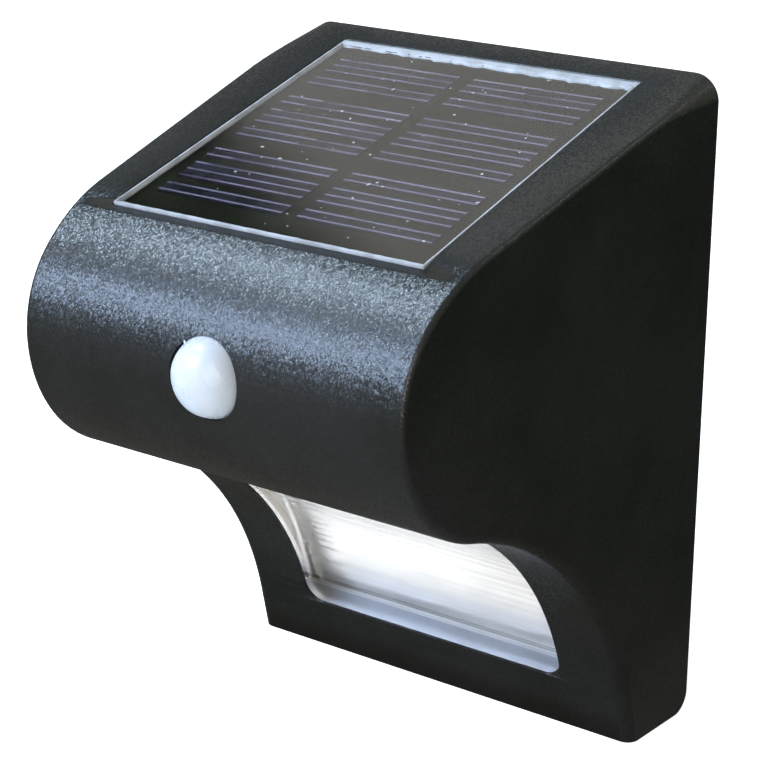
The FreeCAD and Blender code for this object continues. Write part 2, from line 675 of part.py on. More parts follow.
PANEL_WIDTH = "(wall_width - 2 * panel_side)"
PANEL_LENGTH = "(slope_run + panel_over - panel_setback)"
PANEL_FRONT = "(slope_run + panel_over)"
CELL_WIDTH = f"({PANEL_WIDTH} / 2 - cell_split / 2 - cell_side)"
BAND_PITCH = f"({PANEL_LENGTH} / band_count - cell_step)"
PANEL_TOP = "panel_sink"
SHEET_UNDER = f"({PANEL_TOP} + cover_sheet)"
FINGER_UNDER = f"({SHEET_UNDER} + finger_height)"
CELL_UNDER = f"({FINGER_UNDER} + cell_thickness)"
BOARD_UNDER = f"({CELL_UNDER} + board_sheet)"
RECESS = f"({BOARD_UNDER} + pad_thickness)"


def panel_block(name, inset, under, height):
    """Block of the panel's outline, drawn in all round by an inset."""
    return slope_box(name, f"{inset} - {PANEL_WIDTH} / 2", f"{PANEL_FRONT} - {inset}", f"-({under})",
                     f"{PANEL_WIDTH} - 2 * {inset}", f"{PANEL_LENGTH} - 2 * {inset}", height)


def front_housing():
    """Moulded black shell: open at the rear, with seats for panel, lens and window."""
    skin = side_body("skin", "0", "0", "0", "heel_radius")
    rounded = doc.addObject("Part::Fillet", "skin_rounded")
    rounded.Base = skin
    rounded.Edges = side_rounding(skin.Shape)
    hollow = side_body("hollow", "shell_wall", "roof_wall", LEDGE_FRONT, None)
    seat = plate_upright("cover_seat", f"-{COVER_HALF}", COVER_LOW, COVER_HALF, COVER_HIGH,
                         "cover_corner", "-shell_wall", "cover_thickness + shell_wall")
    opening = plate_upright("rear_opening", f"seat_width - {COVER_HALF}", f"{COVER_LOW} + seat_width",
                            f"{COVER_HALF} - seat_width", f"{COVER_HIGH} - seat_width",
                            "cover_corner / 2", "0", f"{LEDGE_FRONT} + ledge_thickness / 4")
    recess = panel_block("panel_recess", "(-panel_gap)", RECESS, f"{RECESS} + roof_wall")
    light_well = panel_block("panel_opening", "ledge_width", "2 * roof_wall", "2 * roof_wall")
    window = sector("window_opening", f"{COVE_RADIUS} - 2 * shell_wall", f"{COVE_RADIUS} + 2 * shell_wall",
                    "window_low", "window_high", WINDOW_WIDTH, "window_corner")
    shell = cut("shell", rounded, [hollow, seat, opening, recess, light_well, window])

    posts = [rod(f"post_{number}", "-Y", x, "-cover_thickness", z, "post_radius", "post_length")
             for number, (x, z) in enumerate(POSTS)]
    posts += [rod(f"reflector_post_{number}", "-Y", x, "-reflector_post_depth", REFLECTOR_POST_HEIGHT,
                  "reflector_post_radius", "body_height / 2")
              for number, x in enumerate(REFLECTOR_POSTS)]
    posts += [rod(f"sensor_post_{number}", "-Y", x, f"-{FLANGE_REAR}", SENSOR_HEIGHT,
                  "sensor_post_radius", "shell_wall * 4")
              for number, x in enumerate(SENSOR_POSTS)]
    posts.append(rod("sensor_boss", "-Y", "0", f"-{BOSS_REAR}", SENSOR_HEIGHT,
                     "sensor_boss", "shell_wall * 4"))
    trim = side_body("post_trim", "(shell_wall / 2)", "(shell_wall / 2)", "cover_thickness", None)
    inside = doc.addObject("Part::Common", "posts_inside")
    inside.Base = fuse("posts", posts)
    inside.Tool = trim
    solid = fuse("shell_with_posts", [shell, inside])

    holes = [rod(f"post_hole_{number}", "-Y", x, "0", z, "screw_radius", "screw_length + hole_spare")
             for number, (x, z) in enumerate(POSTS)]
    holes += [rod(f"reflector_hole_{number}", "-Y", x, "-reflector_post_depth", REFLECTOR_POST_HEIGHT,
                  "small_screw_radius", "small_screw_length")
              for number, x in enumerate(REFLECTOR_POSTS)]
    holes += [rod(f"sensor_hole_{number}", "-Y", x, "0", SENSOR_HEIGHT, "small_screw_radius",
                  f"{SENSOR_BOARD_FRONT} - board_thickness + sensor_screw_length")
              for number, x in enumerate(SENSOR_POSTS)]
    holes.append(rod("lens_hole", "-Y", "0", f"-{BOSS_REAR} / 2", SENSOR_HEIGHT,
                     "sensor_radius + window_gap", BOSS_REAR))
    groove = seal_ring("seal_groove", "0", f"cover_thickness + {SEAL_DEPTH}")
    return node(cut("housing", solid, holes + [groove]), "front_housing")


SEAL_DEPTH = "(ledge_thickness / 2)"


def seal_ring(name, slack, depth):
    """Ring of the cover seal; slack draws it in on both of its sides."""
    edges = {}
    for kind, inset in (("outer", f"(groove_inset + {slack})"),
                        ("inner", f"(groove_inset + groove_width - {slack})")):
        edges[kind] = plate_upright(f"{name}_{kind}", f"{inset} - {COVER_HALF}", f"{COVER_LOW} + {inset}",
                                    f"{COVER_HALF} - {inset}", f"{COVER_HIGH} - {inset}",
                                    "cover_corner / 2", "cover_thickness", f"{depth} - cover_thickness")
    return cut(name, edges["outer"], [edges["inner"]])


# ---------------------------------------------------------------- solar panel

def solar_panel():
    """Base board, silicon strips, printed lines, clear sheet, pale rim and sticky pad."""
    node(panel_block("board", "0", BOARD_UNDER, "board_sheet"), "panel_board")
    inner = panel_block("rim_inside", "rim_width", BOARD_UNDER, f"{BOARD_UNDER} + cover_sheet")
    rim = panel_block("rim_outside", "0", CELL_UNDER, f"{CELL_UNDER} - panel_sink / 2")
    node(cut("rim", rim, [inner]), "panel_rim")
    node(panel_block("sheet", "rim_width", SHEET_UNDER, "cover_sheet"), "panel_cover")
    hole = panel_block("pad_inside", "(ledge_width - panel_gap)", "2 * roof_wall", "4 * roof_wall")
    node(cut("pad_ring", panel_block("pad_outside", "0", RECESS, "pad_thickness"), [hole]), "panel_adhesive")

    cells = []
    lines = []
    columns = [f"-cell_split / 2 - {CELL_WIDTH}", "cell_split / 2"]
    for band, counts in enumerate(((2, 3, 2), (2, 3, 2), (2, 3))):
        passed = 0
        for cell, count in enumerate(counts):
            start = f"(first_line + {band} * {BAND_PITCH} + {passed} * finger_pitch + {cell} * cell_step)"
            passed += count
            for column, x in enumerate(columns):
                mark = f"{band}_{cell}_{column}"
                along = f"{PANEL_FRONT} - {start} + cell_margin / 2"
                cells.append(slope_box(f"cell_{mark}", x, along, f"-{CELL_UNDER}", CELL_WIDTH,
                                       f"{count - 1} * finger_pitch + cell_margin", "cell_thickness"))
                for line in range(count):
                    along = f"{PANEL_FRONT} - {start} - {line} * finger_pitch + finger_width / 2"
                    lines.append(slope_box(f"line_{mark}_{line}", x, along, f"-{FINGER_UNDER}",
                                           CELL_WIDTH, "finger_width", "finger_height"))
    node(group("cells", cells), "solar_cells")
    node(group("lines", lines), "cell_lines")


# ---------------------------------------------------------------- window and lamp

def window_lens():
    """Clear cover of the lamp: a plug that fills the opening, and a flange behind the wall."""
    plug = sector("window_plug", f"{COVE_RADIUS} + window_sink", f"{SEAL_FRONT} + seal_thickness",
                  f"window_low + {GAP_ANGLE}", f"window_high - {GAP_ANGLE}",
                  f"{WINDOW_WIDTH} - 2 * window_gap", "window_corner - window_gap")
    flange = sector("window_flange", FLANGE_FRONT, LIP, f"window_low - {LAP_ANGLE}",
                    f"window_high + {LAP_ANGLE}", f"{WINDOW_WIDTH} + 2 * flange_lap", "window_corner")
    return node(fuse("window", [plug, flange]), "window_lens")


def window_seal():
    """Flat rubber ring between the window flange and the wall."""
    ring = sector("window_ring", SEAL_FRONT, FLANGE_FRONT, f"window_low - {LAP_ANGLE}",
                  f"window_high + {LAP_ANGLE}", f"{WINDOW_WIDTH} + 2 * flange_lap", "window_corner")
    inside = "(flange_lap - seal_width)"
    angle = f"{inside} / {COVE_RADIUS} * 180 / pi"
    hole = sector("window_ring_hole", COVE_RADIUS, f"{COVE_RADIUS} + 3 * shell_wall",
                  f"window_low - {angle}", f"window_high + {angle}",
                  f"{WINDOW_WIDTH} + 2 * {inside}", "window_corner")
    return node(cut("window_gasket", ring, [hole]), "window_seal")


def tray(name, inset, front, width):
    """Side view of the reflector drawn in by an inset, as wide as given."""
    body = body_on(name)
    place(body)
    floor = f"({TRAY_LOW_Z} + {inset})"
    ceiling = f"({CEILING} - {inset})"
    rear = f"(-reflector_back - {inset} / cos(reflector_lean))"
    low_y = f"({COVE_Y} + sqrt(pow({front}; 2) - pow({floor} - {COVE_Z}; 2)))"
    high_y = f"({COVE_Y} + sqrt(pow({front}; 2) - pow({ceiling} - {COVE_Z}; 2)))"
    lean = f"({ceiling} - {TRAY_LOW_Z}) * tan(reflector_lean)"
    points = [
        (low_y, floor),
        (f"{rear} - {inset} * tan(reflector_lean)", floor),
        (f"{rear} - {lean}", ceiling),
        (high_y, ceiling),
    ]
    sketch = sketch_in(body, "YZ_Plane", name + "_side")
    outline(sketch, points, {3: ("-", front)})
    pad(body, sketch, width, both=True)
    return body


def lamp_places():
    return [f"{step} * lamp_pitch" for step in (-1.5, -0.5, 0.5, 1.5)]


def reflector():
    """Bright plated tray behind the window, with the lamp board on its ceiling."""
    outside = tray("tray_outside", "0", LIP, f"2 * ({REFLECTOR_HALF} + reflector_wall)")
    inside = tray("tray_inside", "reflector_wall", f"({LIP} - reflector_wall)", f"2 * {REFLECTOR_HALF}")
    ears = [box(f"ear_{number}", x, "-reflector_post_depth", f"{REFLECTOR_POST_HEIGHT} - ear_width / 2",
                "reflector_post_out + ear_width / 2 + reflector_wall / 2", "reflector_wall", "ear_width")
            for number, x in enumerate((f"{REFLECTOR_HALF} + reflector_wall / 2",
                                        f"-{REFLECTOR_OUT} - ear_width / 2"))]
    bosses = [rod(f"lamp_boss_{number}", "-Z", x, f"-{LAMP_DEPTH}", CEILING, "lamp_boss",
                  "reflector_wall + lamp_boss_length")
              for number, x in enumerate(LAMP_SCREWS)]
    hollow_tray = cut("hollow_tray", outside, [inside])
    holes = [box(f"lamp_hole_{number}", f"{x} - lamp_size / 2 - window_gap",
                 f"-{LAMP_DEPTH} - lamp_size / 2 - window_gap", f"{CEILING} - 2 * reflector_wall",
                 "lamp_size + 2 * window_gap", "lamp_size + 2 * window_gap", "3 * reflector_wall")
             for number, x in enumerate(lamp_places())]
    holes += [rod(f"lamp_boss_hole_{number}", "-Z", x, f"-{LAMP_DEPTH}", f"{CEILING} + board_thickness",
                  "small_screw_radius", "small_screw_length")
              for number, x in enumerate(LAMP_SCREWS)]
    holes += [rod(f"ear_hole_{number}", "-Y", x, "0", REFLECTOR_POST_HEIGHT, "small_screw_radius",
                  "reflector_post_depth * 2")
              for number, x in enumerate(REFLECTOR_POSTS)]
    return node(cut("plated_tray", fuse("tray_with_ears", [hollow_tray] + ears + bosses), holes), "reflector")


def lamp():
    """White board with its row of lamps, facing down into the reflector."""
    board = box("lamp_plate", f"-{LAMP_BOARD_HALF}", f"-{LAMP_DEPTH} - lamp_board_depth / 2", CEILING,
                f"2 * {LAMP_BOARD_HALF}", "lamp_board_depth", "board_thickness")
    holes = [rod(f"lamp_plate_hole_{number}", "+Z", x, f"-{LAMP_DEPTH}", f"{CEILING} - hole_spare",
                 "small_screw_radius", "board_thickness + 2 * hole_spare")
             for number, x in enumerate(LAMP_SCREWS)]
    node(cut("lamp_plate_drilled", board, holes), "lamp_board")
    node(group("lamp_row", [
        box(f"lamp_{number}", f"{x} - lamp_size / 2", f"-{LAMP_DEPTH} - lamp_size / 2",
            f"{CEILING} - lamp_height", "lamp_size", "lamp_size", "lamp_height")
        for number, x in enumerate(lamp_places())
    ]), "lamps")
    head_top = f"{CEILING} + board_thickness + small_screw_head_depth"
    node(screws("lamp_screw", "-Z", [(x, f"-{LAMP_DEPTH}", head_top)
                                     for x in LAMP_SCREWS],
                "0.8 * small_screw_head", "small_screw_head", "small_screw_head_depth",
                "small_screw_radius", "small_screw_length"), "lamp_board_screws")
    node(screws("reflector_screw", "-Y",
                [(x, "reflector_wall + small_screw_head_depth - reflector_post_depth",
                  REFLECTOR_POST_HEIGHT) for x in REFLECTOR_POSTS],
                "0.8 * small_screw_head", "small_screw_head", "small_screw_head_depth",
                "small_screw_radius", "small_screw_length"), "reflector_screws")


# ---------------------------------------------------------------- movement sensor

def sensor_lens():
    """Milky lens: a shallow dome on a short neck, with a flange inside the housing."""
    body = body_on("dome")
    place(body, z=SENSOR_HEIGHT)
    sketch = sketch_in(body, "XY_Plane", "dome_half")
    inner = "(sensor_radius - sensor_wall)"
    rise = "(sensor_bulge - sensor_wall / 2)"
    outer_bend = "((pow(sensor_radius; 2) + pow(sensor_bulge; 2)) / (2 * sensor_bulge))"
    inner_bend = f"((pow({inner}; 2) + pow({rise}; 2)) / (2 * {rise}))"
    inner_rim = f"(sensor_wall / 2 - {SENSOR_RIM})"
    points = [
        ("0", f"-{SENSOR_RIM} - sensor_bulge"), ("sensor_radius", f"-{SENSOR_RIM}"),
        ("sensor_radius", f"-{BOSS_REAR}"), ("sensor_flange", f"-{BOSS_REAR}"),
        ("sensor_flange", f"-{FLANGE_REAR}"), (inner, f"-{FLANGE_REAR}"),
        (inner, inner_rim), ("0", f"{inner_rim} - {rise}"),
    ]
    outline(sketch, points, {0: ("+", outer_bend), 6: ("-", inner_bend)})
    turned = body.newObject("PartDesign::Revolution", "dome_turned")
    turned.Profile = sketch
    turned.ReferenceAxis = (sketch, ["V_Axis"])
    turned.Angle = 360
    return node(body, "sensor_lens")


def sensor():
    """Retainer, small board, sensor can and the two long screws that hold them."""
    half = "(sensor_board_width / 2)"
    plate = box("retainer_plate", f"-{half}", f"-{FLANGE_REAR}",
                f"{SENSOR_HEIGHT} - sensor_board_height / 2",
                "sensor_board_width", "retainer_depth", "sensor_board_height")
    towers = [rod(f"tower_{number}", "-Y", x, f"-{SENSOR_BOARD_FRONT}", SENSOR_HEIGHT,
                  "sensor_post_radius", "sensor_tower + retainer_depth")
              for number, x in enumerate(SENSOR_POSTS)]
    bore = rod("retainer_bore", "-Y", "0", f"-{BOSS_REAR} / 2", SENSOR_HEIGHT,
               "sensor_radius - sensor_wall", BOSS_REAR)
    holes = [rod(f"retainer_hole_{number}", "-Y", x, "0", SENSOR_HEIGHT, "small_screw_radius",
                 SENSOR_RIM)
             for number, x in enumerate(SENSOR_POSTS)]
    node(cut("retainer", fuse("retainer_blank", [plate] + towers), [bore] + holes), "sensor_retainer")

    board = box("sensor_plate", f"-{half}", f"-{SENSOR_BOARD_FRONT}",
                f"{SENSOR_HEIGHT} - sensor_board_height / 2", "sensor_board_width", "board_thickness",
                "sensor_board_height")
    board_holes = [rod(f"sensor_plate_hole_{number}", "-Y", x, "0", SENSOR_HEIGHT,
                       "small_screw_radius", SENSOR_RIM)
                   for number, x in enumerate(SENSOR_POSTS)]
    node(cut("sensor_plate_drilled", board, board_holes), "sensor_board")
    can = rod("can", "-Y", "0", f"-{SENSOR_BOARD_FRONT}", SENSOR_HEIGHT, "can_radius", "can_length")
    brim = rod("can_foot", "-Y", "0", f"-{SENSOR_BOARD_FRONT}", SENSOR_HEIGHT, "can_radius + can_brim",
               "can_brim")
    node(fuse("can_with_brim", [can, brim]), "pir_sensor")
    node(screws("sensor_screw", "-Y",
                [(x, f"board_thickness + small_screw_head_depth - {SENSOR_BOARD_FRONT}", SENSOR_HEIGHT)
                 for x in SENSOR_POSTS],
                "0.8 * small_screw_head", "small_screw_head", "small_screw_head_depth",
                "small_screw_radius", "sensor_screw_length"), "sensor_screws")


# ---------------------------------------------------------------- rear cover

def standoff_places():
    return [(f"{side}({MAIN_BOARD_HALF} - standoff_side)", high) for side in ("", "-")
            for high in (f"{MAIN_BOARD_LOW} + standoff_inset", f"{MAIN_BOARD_HIGH} - standoff_inset")]


def keyhole(mark, x):
    """Tools of one blind keyhole: entry, slot in the lip, and room for the screw head."""
    room = "hanger_lip + hanger_room"
    top = f"{HANGER_HEIGHT} + hanger_rise"
    return [
        rod(f"entry_{mark}", "-Y", x, "hanger_lip", HANGER_HEIGHT, "hanger_entry",
            f"{room} + hanger_lip"),
        rod(f"slot_end_{mark}", "-Y", x, "hanger_lip", top, "hanger_slot", "3 * hanger_lip"),
        box(f"slot_{mark}", f"{x} - hanger_slot", "-2 * hanger_lip", HANGER_HEIGHT,
            "2 * hanger_slot", "3 * hanger_lip", "hanger_rise"),
        rod(f"room_end_{mark}", "-Y", x, "-hanger_lip", top, "hanger_entry", "hanger_room"),
        box(f"room_{mark}", f"{x} - hanger_entry", f"-({room})", HANGER_HEIGHT,
            "2 * hanger_entry", "hanger_room", "hanger_rise"),
    ]


def back_cover():
    """Flat rear plate with blind keyholes, a finger slot and posts for the main board."""
    plate = plate_upright("cover_plate", f"cover_gap - {COVER_HALF}", f"{COVER_LOW} + cover_gap",
                          f"{COVER_HALF} - cover_gap", f"{COVER_HIGH} - cover_gap",
                          "cover_corner - cover_gap", "0", "cover_thickness")
    solids = [plate]
    tools = []
    for mark, x in enumerate(("hanger_spacing / 2", "-hanger_spacing / 2")):
        wall = "shell_wall / 2"
        solids.append(box(f"cup_{mark}", f"{x} - hanger_entry - {wall}",
                          "-hanger_lip - hanger_room - hanger_floor",
                          f"{HANGER_HEIGHT} - hanger_entry - {wall}", f"2 * (hanger_entry + {wall})",
                          "hanger_lip + hanger_room + hanger_floor - cover_thickness / 2",
                          f"hanger_rise + 2 * (hanger_entry + {wall})"))
        tools += keyhole(mark, x)
    for number, (x, z) in enumerate(standoff_places()):
        solids.append(rod(f"standoff_{number}", "-Y", x, "-cover_thickness / 2", z, "standoff_radius",
                          f"{BOARD_REAR} - cover_thickness / 2"))
        tools.append(rod(f"standoff_hole_{number}", "-Y", x, f"standoff_hole - {BOARD_REAR}", z,
                         "small_screw_radius", "standoff_hole + hole_spare"))
    for number, (x, z) in enumerate(POSTS):
        tools.append(cone(f"countersink_{number}", "-Y", x, "0", z, "screw_head",
                          "(screw_head + screw_radius) / 2", "screw_head_depth"))
        tools.append(rod(f"cover_hole_{number}", "-Y", x, "0", z, "screw_radius",
                         "cover_thickness + hole_spare"))
    slot_half = "(switch_travel / 2 + knob_length / 2 + slot_margin)"
    tools.append(box("finger_slot", f"-{slot_half}", "-2 * cover_thickness",
                     f"{SWITCH_HEIGHT} - knob_width / 2 - slot_margin", f"2 * {slot_half}",
                     "3 * cover_thickness", "knob_width + 2 * slot_margin"))
    tools.append(box("finger_dish", f"-{slot_half} - 2 * slot_margin", "-slot_margin",
                     f"{SWITCH_HEIGHT} - knob_width / 2 - 3 * slot_margin",
                     f"2 * {slot_half} + 4 * slot_margin", "2 * slot_margin", "knob_width + 6 * slot_margin"))
    return node(cut("cover", fuse("cover_blank", solids), tools), "back_cover")


def cover_fixings():
    """Rubber cord in the housing's groove, and the four countersunk cover screws."""
    node(seal_ring("seal", "window_gap / 2", f"cover_thickness + {SEAL_DEPTH}"), "cover_seal")
    node(screws("cover_screw", "-Y", [(x, "0", z) for x, z in POSTS], "screw_head",
                "(screw_head + screw_radius) / 2", "screw_head_depth", "screw_radius",
                "screw_length"), "cover_screws")


# ---------------------------------------------------------------- electronics

PEGS = (f"{BATTERY_LENGTH} / 3", f"-{BATTERY_LENGTH} / 3")


def main_board():
    """Circuit board on the rear cover's posts, with its parts and screws."""
    board = box("main_plate", f"-{MAIN_BOARD_HALF}", f"-{BOARD_FRONT}", MAIN_BOARD_LOW,
                f"2 * {MAIN_BOARD_HALF}", "main_board_thickness", f"{MAIN_BOARD_HIGH} - {MAIN_BOARD_LOW}")
    holes = [rod(f"main_plate_hole_{number}", "-Y", x, f"hole_spare - {BOARD_REAR}", z,
                 "small_screw_radius", "main_board_thickness + 2 * hole_spare")
             for number, (x, z) in enumerate(standoff_places())]
    holes += [rod(f"peg_hole_{number}", "-Y", x, f"hole_spare - {BOARD_REAR}", BATTERY_HEIGHT,
                  "holder_peg", "main_board_thickness + 2 * hole_spare")
              for number, x in enumerate(PEGS)]
    node(cut("main_plate_drilled", board, holes), "main_board")
    node(screws("board_screw", "+Y",
                [(x, f"-{BOARD_FRONT} - small_screw_head_depth", z) for x, z in standoff_places()],
                "0.8 * small_screw_head", "small_screw_head", "small_screw_head_depth",
                "small_screw_radius", "small_screw_length"), "board_screws")
    node(box("chip", "chip_across - chip_side / 2", f"-{BOARD_FRONT} - chip_height",
             f"{PARTS_HEIGHT} - chip_side / 2", "chip_side", "chip_height", "chip_side"), "control_chip")
    node(group("cans", [
        rod(f"can_{step}", "-Y", f"can_across + {step} * can_step", f"-{BOARD_FRONT}", PARTS_HEIGHT,
            "can_size", "can_depth")
        for step in range(2)
    ]), "capacitors")
    node(rod("coil", "-Y", "coil_across", f"-{BOARD_FRONT}", PARTS_HEIGHT, "coil_radius", "coil_depth"),
         "charging_coil")


def biarc(start, leave, stop, arrive):
    """Two tangent arcs between two points with given directions."""
    chord = stop - start
    both = leave + arrive
    spread = 2 * (1 - leave.dot(arrive))
    reach = (math.sqrt(chord.dot(both) ** 2 + spread * chord.dot(chord)) - chord.dot(both)) / spread
    first = start + leave * reach
    second = stop - arrive * reach
    middle = (first + second) / 2
    return [bend(start, leave, middle), bend(middle, (second - first).normalize(), stop)]


def bend(start, leave, stop):
    """Arc from one point to another that leaves the first in a given direction."""
    chord = stop - start
    inside = (chord - leave * chord.dot(leave)).normalize()
    centre = start + inside * (chord.dot(chord) / (2 * chord.dot(inside)))
    top = centre + ((start + stop) / 2 - centre).normalize() * (start - centre).Length
    return Part.Arc(start, top, stop).toShape()


def coil_spring(x, y, z):
    """Round wire wound along +X in quarter turns, from the spring's left end at x, y, z."""
    wire = value("spring_wire")
    size = value("spring_radius")
    quarters = round(4 * value("spring_turns"))
    step = (value("spring_length") - 2 * wire) / quarters
    start = Vector(value(x) + wire, value(y), value(f"{z} - body_height / 2"))
    spots = []
    ways = []
    for quarter in range(quarters + 1):
        turn = math.pi / 2 * quarter
        spots.append(start + Vector(step * quarter, size * math.cos(turn), size * math.sin(turn)))
        ways.append(Vector(2 * step / math.pi, -size * math.sin(turn), size * math.cos(turn)).normalize())
    edges = []
    for quarter in range(quarters):
        edges += biarc(spots[quarter], ways[quarter], spots[quarter + 1], ways[quarter + 1])
    ring = Part.Wire(Part.Circle(spots[0], ways[0], wire).toShape())
    return Part.Wire(edges).makePipeShell([ring], True, False)


CELL_Y = f"(-{BOARD_FRONT} - holder_wall - holder_gap - battery_radius)"
CELL_START = f"(spring_length / 2 - nub_length / 2 - {BATTERY_LENGTH} / 2)"
PLATE_START = f"({CELL_START} - spring_length - contact_sheet)"
PLATE_END = f"({CELL_START} + {BATTERY_LENGTH} + nub_length + contact_sheet)"


def battery():
    """Rechargeable cell in an open cradle, between a spring and two contact plates."""
    can = rod("cell_can", "+X", CELL_START, CELL_Y, BATTERY_HEIGHT, "battery_radius", BATTERY_LENGTH)
    nub = rod("cell_nub", "+X", f"{CELL_START} + {BATTERY_LENGTH}", CELL_Y, BATTERY_HEIGHT, "nub_radius",
              "nub_length")
    node(fuse("cell", [can, nub]), "battery_cell")

    length = f"{PLATE_END} - {PLATE_START}"
    cradle = box("cradle", PLATE_START, CELL_Y, f"{BATTERY_HEIGHT} - {HOLDER_REACH}", length,
                 HOLDER_REACH, f"2 * {HOLDER_REACH}")
    ends = [box(f"cradle_end_{number}", x, f"{CELL_Y} - holder_lug", f"{BATTERY_HEIGHT} - {HOLDER_REACH}",
                "holder_wall", f"{HOLDER_REACH} + holder_lug", f"2 * {HOLDER_REACH}")
            for number, x in enumerate((f"{PLATE_START} - holder_wall", PLATE_END))]
    bore = rod("cradle_bore", "+X", PLATE_START, CELL_Y, BATTERY_HEIGHT,
               "battery_radius + holder_gap", length)
    pegs = [rod(f"peg_{number}", "+Y", x, f"-{BOARD_FRONT} - holder_wall / 2", BATTERY_HEIGHT,
                "holder_peg", "holder_wall / 2 + main_board_thickness + peg_end")
            for number, x in enumerate(PEGS)]
    hollow_cradle = cut("hollow_cradle", cradle, [bore])
    node(fuse("holder", [hollow_cradle] + ends + pegs), "battery_holder")
    node(group("plates", [
        box(f"plate_{number}", x, f"{CELL_Y} - contact_side / 2", f"{BATTERY_HEIGHT} - contact_side / 2",
            "contact_sheet", "contact_side", "contact_side")
        for number, x in enumerate((PLATE_START, f"{PLATE_END} - contact_sheet"))
    ]), "battery_contacts")

    spring = doc.addObject("Part::Feature", "coil_spring")
    spring.Shape = coil_spring(f"{CELL_START} - spring_length", CELL_Y, BATTERY_HEIGHT)
    node(spring, "battery_spring")


SWITCH_REAR = f"({BOARD_REAR} - switch_depth)"
SLIDER_REAR = f"({SWITCH_REAR} + switch_wall + switch_gap)"


def switch():
    """Slide switch on the main board; its knob shows in the rear cover's finger slot."""
    case = box("switch_case", "-switch_length / 2", f"-{BOARD_REAR}", f"{SWITCH_HEIGHT} - switch_width / 2",
               "switch_length", "switch_depth", "switch_width")
    room = box("switch_room", "switch_wall - switch_length / 2",
               f"-{SLIDER_REAR} - slider_sheet - switch_gap",
               f"{SWITCH_HEIGHT} - slider_width / 2 - switch_gap", "switch_length - 2 * switch_wall",
               "slider_sheet + 2 * switch_gap", "slider_width + 2 * switch_gap")
    mouth_half = "(switch_travel / 2 + knob_length / 2 + switch_gap)"
    mouth = box("switch_mouth", f"-{mouth_half}", f"-{SLIDER_REAR}",
                f"{SWITCH_HEIGHT} - knob_width / 2 - switch_gap", f"2 * {mouth_half}", "switch_depth",
                "knob_width + 2 * switch_gap")
    node(cut("switch_shell", case, [room, mouth]), "switch_body")
    rest = "(-switch_travel / 2)"
    slide = box("slide", f"{rest} - slider_length / 2", f"-{SLIDER_REAR} - slider_sheet",
                f"{SWITCH_HEIGHT} - slider_width / 2", "slider_length", "slider_sheet", "slider_width")
    knob = box("knob", f"{rest} - knob_length / 2", f"-{SLIDER_REAR} - slider_sheet / 2",
               f"{SWITCH_HEIGHT} - knob_width / 2", "knob_length",
               f"{SLIDER_REAR} + slider_sheet / 2 - knob_recess", "knob_width")
    node(fuse("slider", [slide, knob]), "switch_slider")


# ---------------------------------------------------------------- wires

PANEL_WIRE_Y = f"({BOARD_UNDER} * sin(top_slope) - panel_wire_along * cos(top_slope))"
PANEL_WIRE_Z = f"(body_height - panel_wire_along * sin(top_slope) - {BOARD_UNDER} * cos(top_slope))"


def wires():
    """Insulated wires from the panel, the lamps and the sensor to the main board."""
    pair = ("-wire_spacing / 2", "wire_spacing / 2")
    panel_end = f"{BATTERY_HEIGHT} + {HOLDER_REACH} + 3 * wire_radius"
    node(wire_group("panel_wires", [
        [(x, PANEL_WIRE_Y, PANEL_WIRE_Z), (x, PANEL_WIRE_Y, panel_end), (x, f"-{BOARD_FRONT}", panel_end)]
        for x in pair
    ]), "panel_leads")
    lamp_start = f"{CEILING} + board_thickness"
    lamp_turn = f"{lamp_start} + lamp_wire_rise"
    node(wire_group("lamp_wires", [
        [(x, f"lamp_wire_back - {LAMP_DEPTH}", lamp_start), (x, f"lamp_wire_back - {LAMP_DEPTH}", lamp_turn),
         (x, f"-{BOARD_FRONT}", lamp_turn)]
        for x in pair
    ]), "lamp_leads")
    trio = [f"{step} * wire_spacing - sensor_wire_across" for step in (-1, 0, 1)]
    start = f"board_thickness - {SENSOR_BOARD_FRONT}"
    high = f"{SENSOR_HEIGHT} - sensor_wire_drop"
    low = f"{PARTS_HEIGHT} + wire_radius"
    node(wire_group("sensor_wires", [
        [(x, start, high), (x, f"{start} + sensor_wire_run", high),
         (x, f"-{BOARD_FRONT} - sensor_wire_run", low), (x, f"-{BOARD_FRONT}", low)]
        for x in trio
    ]), "sensor_leads")


# ---------------------------------------------------------------- assembly

front_housing()
solar_panel()
window_lens()
window_seal()
reflector()
lamp()
sensor_lens()
sensor()
back_cover()
cover_fixings()
main_board()
battery()
switch()
wires()
doc.recompute()

faults = [f"{thing.Label}: {state}" for thing in doc.Objects for state in thing.State
          if state in ("Invalid", "Error")]
faults += [thing.Label for thing in NODES if thing.Shape.isNull() or not thing.Shape.isValid()]
if faults:
    raise RuntimeError("faulty shapes: " + ", ".join(faults))

os.makedirs("parts", exist_ok=True)
for thing in NODES:
    thing.Shape.exportStep(f"parts/{thing.Label}.step")
    print(f"{thing.Label}: {len(thing.Shape.Solids)} solids, {thing.Shape.Volume:.1f} mm3")
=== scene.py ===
"""Dresses the solar fence light: smooth moulded shells, finishes, studio and camera."""

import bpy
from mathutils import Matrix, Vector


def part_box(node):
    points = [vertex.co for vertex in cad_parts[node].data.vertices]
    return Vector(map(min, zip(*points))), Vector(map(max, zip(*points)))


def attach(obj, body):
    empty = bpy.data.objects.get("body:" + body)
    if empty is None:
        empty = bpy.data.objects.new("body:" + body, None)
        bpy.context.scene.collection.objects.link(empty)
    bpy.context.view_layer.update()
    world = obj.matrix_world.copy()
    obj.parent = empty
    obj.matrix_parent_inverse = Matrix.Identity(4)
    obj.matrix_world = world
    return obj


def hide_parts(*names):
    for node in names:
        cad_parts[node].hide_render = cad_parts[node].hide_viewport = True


bl_info = {
    "name": "Fence light",
    "version": (1, 0, 0),
    "blender": (4, 5, 0),
    "location": "View3D > Sidebar > Fence light",
    "description": "Shapes and finishes of a solar fence light, with a plain studio round it",
    "category": "Object",
}

import bpy
import bmesh
import math
import random

